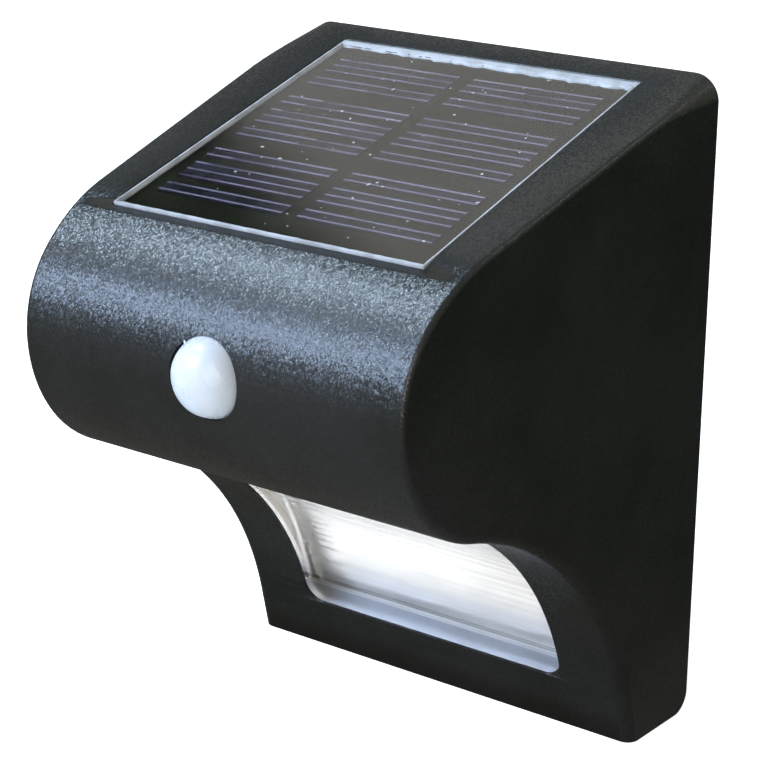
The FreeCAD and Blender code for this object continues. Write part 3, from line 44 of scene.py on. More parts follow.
from bpy.props import FloatProperty, FloatVectorProperty, IntProperty, PointerProperty
from bpy.types import Operator, Panel, PropertyGroup
from mathutils import Vector

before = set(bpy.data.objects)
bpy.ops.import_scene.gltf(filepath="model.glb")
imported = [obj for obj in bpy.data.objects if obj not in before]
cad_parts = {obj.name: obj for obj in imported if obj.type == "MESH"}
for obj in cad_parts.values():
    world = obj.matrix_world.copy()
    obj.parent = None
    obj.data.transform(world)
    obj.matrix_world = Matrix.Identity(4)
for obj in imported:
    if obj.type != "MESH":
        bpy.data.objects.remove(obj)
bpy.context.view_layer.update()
MM = 0.001
MERGE_GAP = 0.01 * MM
SHADING_LIMIT = math.radians(30)
ACRYLIC_IOR = 1.49


# ---------------------------------------------------------------- sizes taken from the frame

def corners(node):
    """Lowest and highest corner of a solid."""
    low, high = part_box(node)
    return Vector(low), Vector(high)


FLOOR = corners("front_housing")[0].z
RIM_LOW, RIM_HIGH = corners("panel_rim")
LENS_LOW, LENS_HIGH = corners("sensor_lens")


# ---------------------------------------------------------------- settings

def length(name, text, default):
    return FloatProperty(name=name, description=text, default=default, unit="LENGTH", precision=5)


def amount(name, text, default):
    return FloatProperty(name=name, description=text, default=default)


def angle(name, text, default):
    return FloatProperty(name=name, description=text, default=math.radians(default),
                         subtype="ANGLE")


def colour(name, text, default):
    return FloatVectorProperty(name=name, description=text, default=default, size=3,
                               subtype="COLOR", min=0, max=1)


class HousingSettings(PropertyGroup):
    smooth: angle("Smoothing", "Edges flatter than this are shaded smooth", 30)
    # Both tones are black plastic; their slight green tint is painted reflection of green
    # surroundings.
    black: colour("Plastic", "Colour of the black plastic", (0.006, 0.0068, 0.0055))
    worn: colour("Rubbed plastic", "Paler patches of the plastic", (0.012, 0.0125, 0.0115))
    dust: colour("Dust", "Colour of the specks of dust on the plastic", (0.16, 0.16, 0.15))
    grain: length("Grain", "Width of one grain of the moulded texture", 0.30 * MM)
    depth: length("Grain depth", "Height of the moulded texture", 0.022 * MM)
    tilt: amount("Grain tilt", "How far single grains lean from the surface", 0.23)


class SolarSettings(PropertyGroup):
    bead: colour("Sealant", "Colour of the pale sealing rim", (0.50, 0.52, 0.55))
    soiled: colour("Soiled sealant", "Darker patches of the sealing rim", (0.36, 0.37, 0.38))
    silicon: colour("Silicon", "Colour of the cells", (0.0055, 0.004, 0.0075))
    ground: colour("Ground", "Colour between the cells", (0.007, 0.0063, 0.004))
    lines: colour("Printed lines", "Colour of the lines on the cells", (0.125, 0.117, 0.145))
    back_bead: length("Wide sealant", "Width of the rim along the rear edge", 1.7 * MM)
    front_bead: length("Front sealant", "Width of the rim along the front edge", 0.48 * MM)
    side_bead: length("Narrow sealant", "Width of the rim along the side edges", 0.30 * MM)
    specks: IntProperty(name="Dust specks", description="Number of specks on the panel",
                        default=70)


class WindowSettings(PropertyGroup):
    clear: colour("Clear plastic", "Tint of the window", (0.99, 0.98, 0.965))
    frost: colour("Frosted step", "Tint of the step along the lower edge", (0.50, 0.52, 0.575))
    step: length("Step", "Height of the frosted step", 3.6 * MM)
    # The bright line is a painted highlight along the top edge of the frosted step.
    line: colour("Painted highlight line", "Tint of the bright line along the step", (1.0, 1.0, 1.0))
    # The dark groove is painted shade: a darker band on the clear pane that stands in for the
    # shade in a groove.
    groove_shade: colour("Groove shade", "Tint of the dark groove above the step", (0.20, 0.21, 0.23))
    plating: colour("Plating", "Colour of the bright reflector", (0.96, 0.925, 0.875))


class SensorSettings(PropertyGroup):
    milky: colour("Lens", "Colour of the milky sensor lens", (0.62, 0.65, 0.68))
    segments: IntProperty(name="Facets", description="Facets round the lens", default=20)
    pillow: length("Facet height", "Bulge of each facet", 0.03 * MM)


class StageSettings(PropertyGroup):
    key: amount("Key lamp", "Power of the large soft lamp in watts", 10.0)
    spark: amount("Spark lamp", "Power of the small bright lamp in watts", 6.2)
    fill: amount("Fill lamp", "Power of the fill lamp in watts", 6.0)
    rim: amount("Rim lamp", "Power of the lamp behind the light in watts", 0.6)
    room: amount("Room", "Strength of the light from all round", 0.30)
    sky: amount("Sky", "Strength of the sky that glossy faces mirror", 0.54)
    floor: colour("Floor", "Colour of the floor", (0.80, 0.80, 0.79))


# ---------------------------------------------------------------- helpers

def deselect():
    for thing in bpy.context.selected_objects:
        thing.select_set(False)


def use(piece):
    """Makes one piece the only selected and active one."""
    if bpy.context.mode != "OBJECT":
        bpy.ops.object.mode_set(mode="OBJECT")
    deselect()
    piece.select_set(True)
    bpy.context.view_layer.objects.active = piece


def edit(piece, kind="FACE"):
    use(piece)
    bpy.ops.object.mode_set(mode="EDIT")
    bpy.ops.mesh.select_mode(type=kind)


def done():
    bpy.ops.object.mode_set(mode="OBJECT")


def pick(piece, test, kind="FACE"):
    """Selects the faces, edges or vertices that pass a test, and nothing else."""
    mesh = bmesh.from_edit_mesh(piece.data)
    for group in (mesh.verts, mesh.edges, mesh.faces):
        for item in group:
            item.select = False
    items = {"FACE": mesh.faces, "EDGE": mesh.edges, "VERT": mesh.verts}[kind]
    for item in items:
        if test(item):
            item.select_set(True)
    bmesh.update_edit_mesh(piece.data)


def apply_modifier(piece, kind, **values):
    use(piece)
    modifier = piece.modifiers.new(kind.lower(), kind)
    for name, number in values.items():
        setattr(modifier, name, number)
    bpy.ops.object.modifier_apply(modifier=modifier.name)


def smooth(piece, limit):
    use(piece)
    bpy.ops.object.shade_smooth_by_angle(angle=limit)


def settle(piece):
    """Puts the piece's object at the origin, with its place in its mesh."""
    use(piece)
    bpy.ops.object.transform_apply(location=True, rotation=True, scale=True)


def shell_copy(node, name, limit=SHADING_LIMIT):
    """Merged copy of a solid, with even shading over its bends."""
    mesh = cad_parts[node].data.copy()
    piece = bpy.data.objects.new(name, mesh)
    bpy.context.scene.collection.objects.link(piece)
    mesh.materials.clear()
    edit(piece)
    bpy.ops.mesh.select_all(action="SELECT")
    bpy.ops.mesh.remove_doubles(threshold=MERGE_GAP)
    done()
    smooth(piece, limit)
    apply_modifier(piece, "WEIGHTED_NORMAL", mode="FACE_AREA", weight=50, keep_sharp=True)
    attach(piece, "light")
    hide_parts(node)
    return piece


def dress(piece, surface):
    """Gives every slot of a piece its finish."""
    if piece.data.materials:
        for place in piece.material_slots:
            place.material = surface
    else:
        piece.data.materials.append(surface)


# ---------------------------------------------------------------- shared effects

def new_group(name, inputs, outputs):
    """Shader node group with named sockets."""
    tree = bpy.data.node_groups.new(name, "ShaderNodeTree")
    for label, kind, default in inputs:
        socket = tree.interface.new_socket(name=label, in_out="INPUT", socket_type=kind)
        if default is not None:
            socket.default_value = default
    for label, kind in outputs:
        tree.interface.new_socket(name=label, in_out="OUTPUT", socket_type=kind)
    return tree, tree.nodes.new("NodeGroupInput"), tree.nodes.new("NodeGroupOutput")


def add(tree, kind, settings=None, **inputs):
    """New node with its settings, and its inputs set or linked by name, or by number as n0."""
    made = tree.nodes.new(kind)
    for name, number in (settings or {}).items():
        setattr(made, name, number)
    for name, source in inputs.items():
        socket = made.inputs[int(name[1:])] if name[0] == "n" and name[1:].isdigit() \
            else made.inputs[name.replace("_", " ")]
        if isinstance(source, bpy.types.NodeSocket):
            tree.links.new(source, socket)
        else:
            socket.default_value = source
    return made


def maths(tree, operation, first, second=0.0, clamp=False):
    return add(tree, "ShaderNodeMath", {"operation": operation, "use_clamp": clamp},
               n0=first, n1=second).outputs[0]


def vectors(tree, operation, first, second):
    return add(tree, "ShaderNodeVectorMath", {"operation": operation},
               n0=first, n1=second).outputs["Vector"]


def ramp(tree, source, low, high):
    """0 at low to 1 at high, smoothly."""
    return add(tree, "ShaderNodeMapRange", {"interpolation_type": "SMOOTHSTEP"}, Value=source,
               From_Min=low, From_Max=high).outputs["Result"]


def between(tree, source, low, high):
    """Turns 0 to 1 into low to high."""
    return add(tree, "ShaderNodeMapRange", Value=source, To_Min=low, To_Max=high).outputs["Result"]


def blend(tree, factor, first, second):
    """The first colour where the factor is 0, the second where it is 1."""
    made = add(tree, "ShaderNodeMix", {"data_type": "RGBA"}, n0=factor, n6=first, n7=second)
    return made.outputs[2]


def moulded_grain():
    """Sand texture of a mould: leaning grains, a bumped normal and a mask of its peaks."""
    tree, source, out = new_group(
        "moulded grain",
        [("Vector", "NodeSocketVector", None), ("Grain", "NodeSocketFloat", 0.4 * MM),
         ("Depth", "NodeSocketFloat", 0.03 * MM), ("Tilt", "NodeSocketFloat", 0.0)],
        [("Normal", "NodeSocketVector"), ("Peaks", "NodeSocketFloat")])
    scale = maths(tree, "DIVIDE", 1.0, source.outputs["Grain"])
    coarse = add(tree, "ShaderNodeTexVoronoi", Vector=source.outputs["Vector"], Scale=scale)
    fine = add(tree, "ShaderNodeTexNoise", Vector=source.outputs["Vector"],
               Scale=maths(tree, "MULTIPLY", scale, 1.3), Detail=2.0, Roughness=0.6)
    height = maths(tree, "SUBTRACT", fine.outputs["Fac"],
                   maths(tree, "MULTIPLY", coarse.outputs["Distance"], 0.5))
    chance = vectors(tree, "SUBTRACT", coarse.outputs["Color"], (0.5, 0.5, 0.5))
    lean = add(tree, "ShaderNodeVectorMath", {"operation": "SCALE"}, n0=chance,
               Scale=source.outputs["Tilt"]).outputs["Vector"]
    flat = add(tree, "ShaderNodeNewGeometry").outputs["Normal"]
    level = add(tree, "ShaderNodeVectorMath", {"operation": "NORMALIZE"},
                n0=vectors(tree, "ADD", flat, lean)).outputs["Vector"]
    bump = add(tree, "ShaderNodeBump", Height=height, Distance=source.outputs["Depth"],
               Strength=1.0, Normal=level)
    tree.links.new(bump.outputs["Normal"], out.inputs["Normal"])
    tree.links.new(ramp(tree, height, 0.1, 0.5), out.inputs["Peaks"])
    return tree


def cloud():
    """Slow change between two colours, and the mask that mixes them."""
    tree, source, out = new_group(
        "cloud",
        [("Vector", "NodeSocketVector", None), ("Size", "NodeSocketFloat", 20 * MM),
         ("First", "NodeSocketColor", None), ("Second", "NodeSocketColor", None)],
        [("Color", "NodeSocketColor"), ("Mask", "NodeSocketFloat")])
    noise = add(tree, "ShaderNodeTexNoise", Vector=source.outputs["Vector"],
                Scale=maths(tree, "DIVIDE", 1.0, source.outputs["Size"]), Detail=4.0,
                Roughness=0.55)
    mask = ramp(tree, noise.outputs["Fac"], 0.35, 0.68)
    tree.links.new(blend(tree, mask, source.outputs["First"], source.outputs["Second"]),
                   out.inputs["Color"])
    tree.links.new(mask, out.inputs["Mask"])
    return tree


def dust():
    """Mask of small scattered specks, thicker on faces that look up."""
    tree, source, out = new_group(
        "dust",
        [("Vector", "NodeSocketVector", None), ("Spacing", "NodeSocketFloat", 4 * MM),
         ("Size", "NodeSocketFloat", 0.08)],
        [("Mask", "NodeSocketFloat")])
    cells = add(tree, "ShaderNodeTexVoronoi", Vector=source.outputs["Vector"],
                Scale=maths(tree, "DIVIDE", 1.0, source.outputs["Spacing"]), Randomness=1.0)
    speck = maths(tree, "LESS_THAN", cells.outputs["Distance"], source.outputs["Size"])
    lot = add(tree, "ShaderNodeSeparateColor", Color=cells.outputs["Color"])
    kept = maths(tree, "GREATER_THAN", lot.outputs[0], 0.45)
    flat = add(tree, "ShaderNodeNewGeometry").outputs["Normal"]
    up = add(tree, "ShaderNodeSeparateXYZ", Vector=flat)
    facing = ramp(tree, up.outputs["Z"], -0.2, 0.7)
    tree.links.new(maths(tree, "MULTIPLY", maths(tree, "MULTIPLY", speck, kept), facing),
                   out.inputs["Mask"])
    return tree


def scratches():
    """Fine straight marks along X, for drawn or machined metal."""
    tree, source, out = new_group(
        "scratches",
        [("Vector", "NodeSocketVector", None), ("Width", "NodeSocketFloat", 0.2 * MM),
         ("Depth", "NodeSocketFloat", 0.005 * MM)],
        [("Normal", "NodeSocketVector"), ("Mask", "NodeSocketFloat")])
    stretched = add(tree, "ShaderNodeMapping", Vector=source.outputs["Vector"],
                    Scale=(0.03, 1.0, 1.0))
    noise = add(tree, "ShaderNodeTexNoise", Vector=stretched.outputs["Vector"],
                Scale=maths(tree, "DIVIDE", 1.0, source.outputs["Width"]), Detail=3.0)
    bump = add(tree, "ShaderNodeBump", Height=noise.outputs["Fac"],
               Distance=source.outputs["Depth"], Strength=1.0)
    tree.links.new(bump.outputs["Normal"], out.inputs["Normal"])
    tree.links.new(ramp(tree, noise.outputs["Fac"], 0.4, 0.65), out.inputs["Mask"])
    return tree


EFFECTS = {}


def effect(tree, name, **inputs):
    """Places a shared effect in a material."""
    makers = {"grain": moulded_grain, "cloud": cloud, "dust": dust, "scratches": scratches}
    if name not in EFFECTS:
        EFFECTS[name] = makers[name]()
    made = tree.nodes.new("ShaderNodeGroup")
    made.node_tree = EFFECTS[name]
    made.label = name
    tree.links.new(coordinates(tree), made.inputs["Vector"])
    for label, source in inputs.items():
        if isinstance(source, bpy.types.NodeSocket):
            tree.links.new(source, made.inputs[label])
        else:
            made.inputs[label].default_value = source
    return made


def coordinates(tree):
    """Object coordinates, from one node in each material."""
    place = tree.nodes.get("place") or tree.nodes.new("ShaderNodeTexCoord")
    place.name = "place"
    return place.outputs["Object"]


def rgba(tone, factor=1.0):
    """Colour with its alpha, lightened or darkened by a factor."""
    return tuple(min(1.0, part * factor) for part in tone[:3]) + (1.0,)


def finish(name, **sockets):
    """Material with one Principled shader whose plain values are set on its own sockets."""
    made = bpy.data.materials.new(name)
    made.use_nodes = True
    tree = made.node_tree
    shader = tree.nodes["Principled BSDF"]
    for label, number in sockets.items():
        shader.inputs[label.replace("_", " ")].default_value = number
    return made, tree, shader


def connect(tree, shader, tint, normal, roughness):
    """Links the colour, normal and roughness that change over a piece."""
    tree.links.new(tint, shader.inputs["Base Color"])
    tree.links.new(normal, shader.inputs["Normal"])
    tree.links.new(roughness, shader.inputs["Roughness"])


def moulded(name, first, second, roughness, grain, depth, size=20 * MM, **sockets):
    """Moulded plastic: two close tones, grain and a roughness that follows its peaks."""
    made, tree, shader = finish(name, **sockets)
    tone = effect(tree, "cloud", Size=size, First=rgba(first), Second=rgba(second))
    skin = effect(tree, "grain", Grain=grain, Depth=depth)
    gloss = between(tree, skin.outputs["Peaks"], roughness - 0.06, roughness + 0.06)
    connect(tree, shader, tone.outputs["Color"], skin.outputs["Normal"], gloss)
    return made


def metal(name, first, second, roughness):
    """Plated or drawn metal with fine marks and a slightly clouded tone."""
    made, tree, shader = finish(name, Metallic=1.0)
    tone = effect(tree, "cloud", Size=6 * MM, First=rgba(first), Second=rgba(second))
    marks = effect(tree, "scratches", Width=0.15 * MM, Depth=0.003 * MM)
    gloss = between(tree, marks.outputs["Mask"], roughness - 0.04, roughness + 0.08)
    connect(tree, shader, tone.outputs["Color"], marks.outputs["Normal"], gloss)
    return made


# ---------------------------------------------------------------- housing

class FENCE_OT_housing(Operator):
    """Smooth moulded shell of the light with its sand texture"""
    bl_idname = "fence_light.housing"
    bl_label = "Housing"

    def execute(self, context):
        choice = context.scene.fence_housing
        piece = shell_copy("front_housing", "housing_shell", choice.smooth)
        made, tree, shader = finish("black plastic", Specular_IOR_Level=0.5)
        # The tones' slight green tint is painted reflection
        tone = effect(tree, "cloud", Size=30 * MM, First=rgba(choice.black),
                      Second=rgba(choice.worn))
        skin = effect(tree, "grain", Grain=choice.grain, Depth=choice.depth, Tilt=choice.tilt)
        specks = effect(tree, "dust", Spacing=6 * MM, Size=0.035)
        tint = blend(tree, specks.outputs["Mask"], tone.outputs["Color"], rgba(choice.dust))
        gloss = between(tree, skin.outputs["Peaks"], 0.38, 0.27)
        connect(tree, shader, tint, skin.outputs["Normal"], gloss)
        dress(piece, made)
        return {"FINISHED"}


# ---------------------------------------------------------------- solar panel

PANEL_SLOPE = math.radians(15.5)
BEAD_CUTS = 60                      # points along each side of the bead
BEAD_PROUD = 0.12 * MM              # how far it stands above the rim's solid
BEAD_CLEARANCE = 0.02 * MM
BEAD_EDGE = 0.1 * MM                # bevel
OUTSIDE = 0.999                     # beyond this a point lies on the grid's outer edge
SHEET_SIDE, SHEET_FRONT = 0.2 * MM, 0.3 * MM   # the bead's outer edge to the sheet
SHEET_GRIP = 0.2 * MM               # points this near an edge of the sheet move with it
SHEET_EDGE = 0.08 * MM              # bevel
DUST_SEED = 11
DUST_SIZES = (0.10, 0.12, 0.14, 0.18, 0.26)
DUST_HEIGHT = 0.35                  # height of a speck against its size


def slope_frame():
    """Middle of the panel, its down-slope direction, its normal and half its length."""
    rise = RIM_HIGH.z - RIM_LOW.z
    run = RIM_HIGH.y - RIM_LOW.y
    down = Vector((0, -math.cos(PANEL_SLOPE), -math.sin(PANEL_SLOPE)))
    up = Vector((0, -math.sin(PANEL_SLOPE), math.cos(PANEL_SLOPE)))
    middle = Vector((0, (RIM_HIGH.y + RIM_LOW.y) / 2, (RIM_HIGH.z + RIM_LOW.z) / 2))
    span = (run * math.cos(PANEL_SLOPE) + rise * math.sin(PANEL_SLOPE)) / 2
    return middle, down, up, span


class FENCE_OT_panel(Operator):
    """Solar panel: cells, printed lines, clear sheet, sealant bead and dust"""
    bl_idname = "fence_light.panel"
    bl_label = "Solar panel"

    def execute(self, context):
        choice = context.scene.fence_solar
        self.bead(choice)
        self.sheet()
        self.specks(choice)
        self.layers(choice)
        return {"FINISHED"}

    def bead(self, choice):
        """Uneven pale bead of sealant, wide along the rear edge."""
        middle, down, up, _ = slope_frame()
        verts = [vertex.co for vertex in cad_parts["panel_rim"].data.vertices]
        half = max(point.x for point in verts)
        along = [(point - middle).dot(down) for point in verts]
        above = [(point - middle).dot(up) for point in verts]
        start, end = min(along), max(along)
        low, top = min(above), max(above) + BEAD_PROUD
        bpy.ops.mesh.primitive_grid_add(x_subdivisions=BEAD_CUTS, y_subdivisions=BEAD_CUTS,
                                        size=2)
        piece = bpy.context.object
        piece.name = "panel_bead"
        edit(piece)
        pick(piece, lambda face: all(max(abs(corner.co.x), abs(corner.co.y)) < OUTSIDE
                                     for corner in face.verts))
        bpy.ops.mesh.delete(type="FACE")
        done()
        for vertex in piece.data.vertices:
            x, y = vertex.co.x, vertex.co.y
            outer = max(abs(x), abs(y)) > OUTSIDE
            wave = math.sin(31 * x + 17 * y) + math.sin(53 * x - 29 * y + 1) \
                + math.sin(97 * x + 71 * y)
            side, place = x * half, (start + end) / 2 - y * (end - start) / 2
            if not outer:
                edge = choice.side_bead + 0.02 * MM * wave
                front = choice.front_bead + 0.03 * MM * wave
                rear = choice.back_bead * (0.8 + 0.25 * x) + 0.14 * MM * wave
                side = max(-half + edge, min(half - edge, side * 1.1))
                place = max(start + rear, min(end - front, place * 1.1))
            vertex.co = middle + Vector((side, 0, 0)) + down * place + up * top
        apply_modifier(piece, "SOLIDIFY", thickness=top - low - BEAD_CLEARANCE, offset=-1)
        apply_modifier(piece, "BEVEL", width=BEAD_EDGE, segments=2, limit_method="ANGLE",
                       angle_limit=math.radians(50))
        smooth(piece, math.radians(60))
        settle(piece)
        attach(piece, "light")
        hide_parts("panel_rim")
        dress(piece, moulded("pale sealant", choice.bead, choice.soiled, 0.35, 0.6 * MM, 0.03 * MM,
                             size=4 * MM, Specular_IOR_Level=0.5))

    def sheet(self):
        """Clear sheet over the cells, let out at the sides and the front to meet the thin bead."""
        piece = shell_copy("panel_cover", "panel_sheet")
        middle, down, _, _ = slope_frame()
        points = [vertex.co.copy() for vertex in piece.data.vertices]
        half = max(point.x for point in points)
        reach = max((point - middle).dot(down) for point in points)
        rim = [vertex.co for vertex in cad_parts["panel_rim"].data.vertices]
        wider = max(point.x for point in rim) - SHEET_SIDE - half
        longer = max((point - middle).dot(down) for point in rim) - SHEET_FRONT - reach
        edit(piece, "VERT")
        for side in (-1, 1):
            pick(piece, lambda vertex: side * vertex.co.x > half - SHEET_GRIP, "VERT")
            bpy.ops.transform.translate(value=(side * wider, 0, 0))
        pick(piece, lambda vertex: (vertex.co - middle).dot(down) > reach - SHEET_GRIP, "VERT")
        bpy.ops.transform.translate(value=down * longer)
        done()
        apply_modifier(piece, "BEVEL", width=SHEET_EDGE, segments=2, limit_method="ANGLE",
                       angle_limit=math.radians(60))
        made, tree, shader = finish("panel sheet", Transmission_Weight=1.0, IOR=ACRYLIC_IOR)
        tone = effect(tree, "cloud", Size=20 * MM, First=(0.93, 0.92, 0.90, 1),
                      Second=(0.98, 0.98, 0.98, 1))
        skin = effect(tree, "grain", Grain=9 * MM, Depth=0.003 * MM)
        haze = between(tree, tone.outputs["Mask"], 0.02, 0.06)
        connect(tree, shader, tone.outputs["Color"], skin.outputs["Normal"], haze)
        dress(piece, made)
        piece.visible_shadow = False

    def specks(self, choice):
        """Small flat specks of dust and grit lying on the sheet."""
        middle, down, up, span = slope_frame()
        points = [vertex.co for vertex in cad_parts["panel_cover"].data.vertices]
        top = max((point - middle).dot(up) for point in points)
        half = max(point.x for point in points)
        chance = random.Random(DUST_SEED)
        bpy.ops.mesh.primitive_ico_sphere_add(subdivisions=1, radius=1)
        first = bpy.context.object
        settle(first)
        shapes = []
        for _ in range(choice.specks):
            size = chance.choice(DUST_SIZES) * MM
            across = chance.uniform(-0.92, 0.92) * half
            along = chance.uniform(-0.9, 0.9) * span
            speck = bpy.data.objects.new("speck", first.data.copy())
            bpy.context.scene.collection.objects.link(speck)
            turn = chance.uniform(0, math.pi)
            stretch = chance.uniform(1.0, 2.0)
            for vertex in speck.data.vertices:
                local = vertex.co * size * chance.uniform(0.8, 1.2)
                x = local.x * stretch * math.cos(turn) - local.y * math.sin(turn)
                y = local.x * stretch * math.sin(turn) + local.y * math.cos(turn)
                vertex.co = middle + Vector((across + x, 0, 0)) + down * (along + y) \
                    + up * (top + DUST_HEIGHT * local.z)
            shapes.append(speck)
        bpy.data.objects.remove(first)
        use(shapes[0])
        for speck in shapes:
            speck.select_set(True)
        bpy.ops.object.join()
        piece = bpy.context.object
        piece.name = "panel_dust"
        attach(piece, "light")
        dress(piece, moulded("dust grains", (0.34, 0.34, 0.33), (0.62, 0.61, 0.60), 0.8,
                             0.1 * MM, 0.01 * MM, size=1 * MM, Specular_IOR_Level=0.3))

    def layers(self, choice):
        """Finishes of the layers under the sheet."""
        cells, tree, shader = finish("silicon", Specular_IOR_Level=0.03)
        tone = effect(tree, "cloud", Size=12 * MM, First=rgba(choice.silicon),
                      Second=rgba(choice.silicon, 1.9))
        skin = effect(tree, "grain", Grain=1.2 * MM, Depth=0.004 * MM)
        gloss = between(tree, tone.outputs["Mask"], 0.22, 0.34)
        connect(tree, shader, tone.outputs["Color"], skin.outputs["Normal"], gloss)
        dress(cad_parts["solar_cells"], cells)
        dress(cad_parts["cell_lines"],
              moulded("printed silver lines", choice.lines,
                      tuple(part * 1.25 for part in choice.lines),
                      0.45, 0.3 * MM, 0.01 * MM, size=12 * MM, Specular_IOR_Level=0.0))
        dress(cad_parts["panel_board"],
              moulded("panel ground", choice.ground, tuple(part * 1.6 for part in choice.ground),
                      0.5, 0.8 * MM, 0.01 * MM, Specular_IOR_Level=0.0))
        dress(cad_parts["panel_adhesive"],
              moulded("sticky foam", (0.55, 0.53, 0.47), (0.48, 0.46, 0.40), 0.9,
                      0.4 * MM, 0.06 * MM))


# ---------------------------------------------------------------- window and reflector

# Heights on the pane: its hidden foot, and the painted highlight line and band of painted groove
# shade above the frosted step
PANE_FOOT = 3.1 * MM
STEP_FADE = 0.3 * MM
LINE_RISE = 0.35 * MM
GROOVE_RISE = 1.6 * MM
STRIPE_WIDTH = 0.8 * MM


class FENCE_OT_window(Operator):
    """Clear window, its seal, and the plated reflector with the lamps behind it"""
    bl_idname = "fence_light.window"
    bl_label = "Window and reflector"

    def execute(self, context):
        choice = context.scene.fence_window
        self.pane(choice)
        self.gasket()
        self.tray(choice)
        self.lamps()
        return {"FINISHED"}

    def pane(self, choice):
        """Clear pane with a frosted step, a painted highlight line and a band of painted groove
        shade along its lower edge.
        """
        piece = shell_copy("window_lens", "window_pane")
        made, tree, shader = finish("clear plastic", Transmission_Weight=1.0, IOR=ACRYLIC_IOR)
        tone = effect(tree, "cloud", Size=30 * MM, First=rgba(choice.clear),
                      Second=rgba(choice.clear, 0.97))
        skin = effect(tree, "grain", Grain=12 * MM, Depth=0.02 * MM)
        height = add(tree, "ShaderNodeSeparateXYZ", Vector=coordinates(tree)).outputs["Z"]
        ledge = corners("window_lens")[0].z + PANE_FOOT + choice.step
        step = ramp(tree, height, ledge + STEP_FADE, ledge)
        # Painted highlight: a white line along the top edge of the frosted step
        line = self.stripe(tree, height, ledge + LINE_RISE)
        # Painted shade of a groove, a dark band on the clear pane
        groove_shade = self.stripe(tree, height, ledge + GROOVE_RISE)
        tint = blend(tree, step, tone.outputs["Color"], rgba(choice.frost))
        # Darkens the pane where the painted groove shade lies
        tint = blend(tree, groove_shade, tint, rgba(choice.groove_shade))
        # Painted highlight laid over the step and the band of painted shade
        tint = blend(tree, line, tint, rgba(choice.line))
        haze = between(tree, tone.outputs["Mask"], 0.04, 0.12)
        frosted = between(tree, maths(tree, "MAXIMUM", step, line), haze, 0.5)
        connect(tree, shader, tint, skin.outputs["Normal"], frosted)
        dress(piece, made)
        piece.visible_shadow = False

    def stripe(self, tree, height, middle):
        """Mask of a soft line across the pane."""
        rise = ramp(tree, height, middle - STRIPE_WIDTH / 2, middle)
        fall = ramp(tree, height, middle + STRIPE_WIDTH / 2, middle)
        return maths(tree, "MULTIPLY", rise, fall)

    def gasket(self):
        """Soft seal round the pane."""
        piece = shell_copy("window_seal", "window_gasket")
        dress(piece, moulded("seal rubber", (0.012, 0.012, 0.012), (0.02, 0.02, 0.02), 0.7,
                             0.5 * MM, 0.04 * MM))

    def tray(self, choice):
        """Plated reflector behind the pane."""
        piece = shell_copy("reflector", "plated_reflector")
        made, tree, shader = finish("bright plating", Metallic=1.0)
        tone = effect(tree, "cloud", Size=12 * MM, First=rgba(choice.plating),
                      Second=rgba(choice.plating, 0.95))
        skin = effect(tree, "grain", Grain=12 * MM, Depth=0.05 * MM)
        gloss = between(tree, tone.outputs["Mask"], 0.30, 0.40)
        connect(tree, shader, tone.outputs["Color"], skin.outputs["Normal"], gloss)
        dress(piece, made)

    def lamps(self):
        """White lamp board, the lamps with their yellow phosphor, and the lamp wires."""
        dress(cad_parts["lamp_board"],
              moulded("white board", (0.78, 0.78, 0.75), (0.70, 0.70, 0.68), 0.4,
                      0.8 * MM, 0.02 * MM))
        made, tree, shader = finish("lamp package", Specular_IOR_Level=0.5)
        tone = effect(tree, "cloud", Size=3 * MM, First=(0.85, 0.72, 0.30, 1),
                      Second=(0.88, 0.80, 0.45, 1))
        skin = effect(tree, "grain", Grain=0.3 * MM, Depth=0.01 * MM)
        tree.links.new(tone.outputs["Color"], shader.inputs["Base Color"])
        tree.links.new(skin.outputs["Normal"], shader.inputs["Normal"])
        dress(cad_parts["lamps"], made)
        dress(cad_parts["lamp_leads"],
              moulded("red wire skin", (0.35, 0.02, 0.02), (0.28, 0.015, 0.015), 0.4,
                      0.4 * MM, 0.01 * MM))


# ---------------------------------------------------------------- sensor lens

DOME_RADIUS = 6.95 * MM
DOME_BULGE = 4.0 * MM
DOME_WALL = 0.7 * MM
DOME_SKIRT = (0.5 * MM, 5.5 * MM)   # depths of the rings behind the dome
FLANGE_DEPTH = 1.0 * MM
FACET_GAP = 0.10 * MM
FACET_START = 1.2 * MM              # plain band between the dome's foot and its facets
MARK_SIDE, MARK_RISE = -0.55, 0.80  # place of the moulding mark, in radii of the dome
MARK_PROUD = 0.1 * MM
MARK_TURN = math.radians(-35)


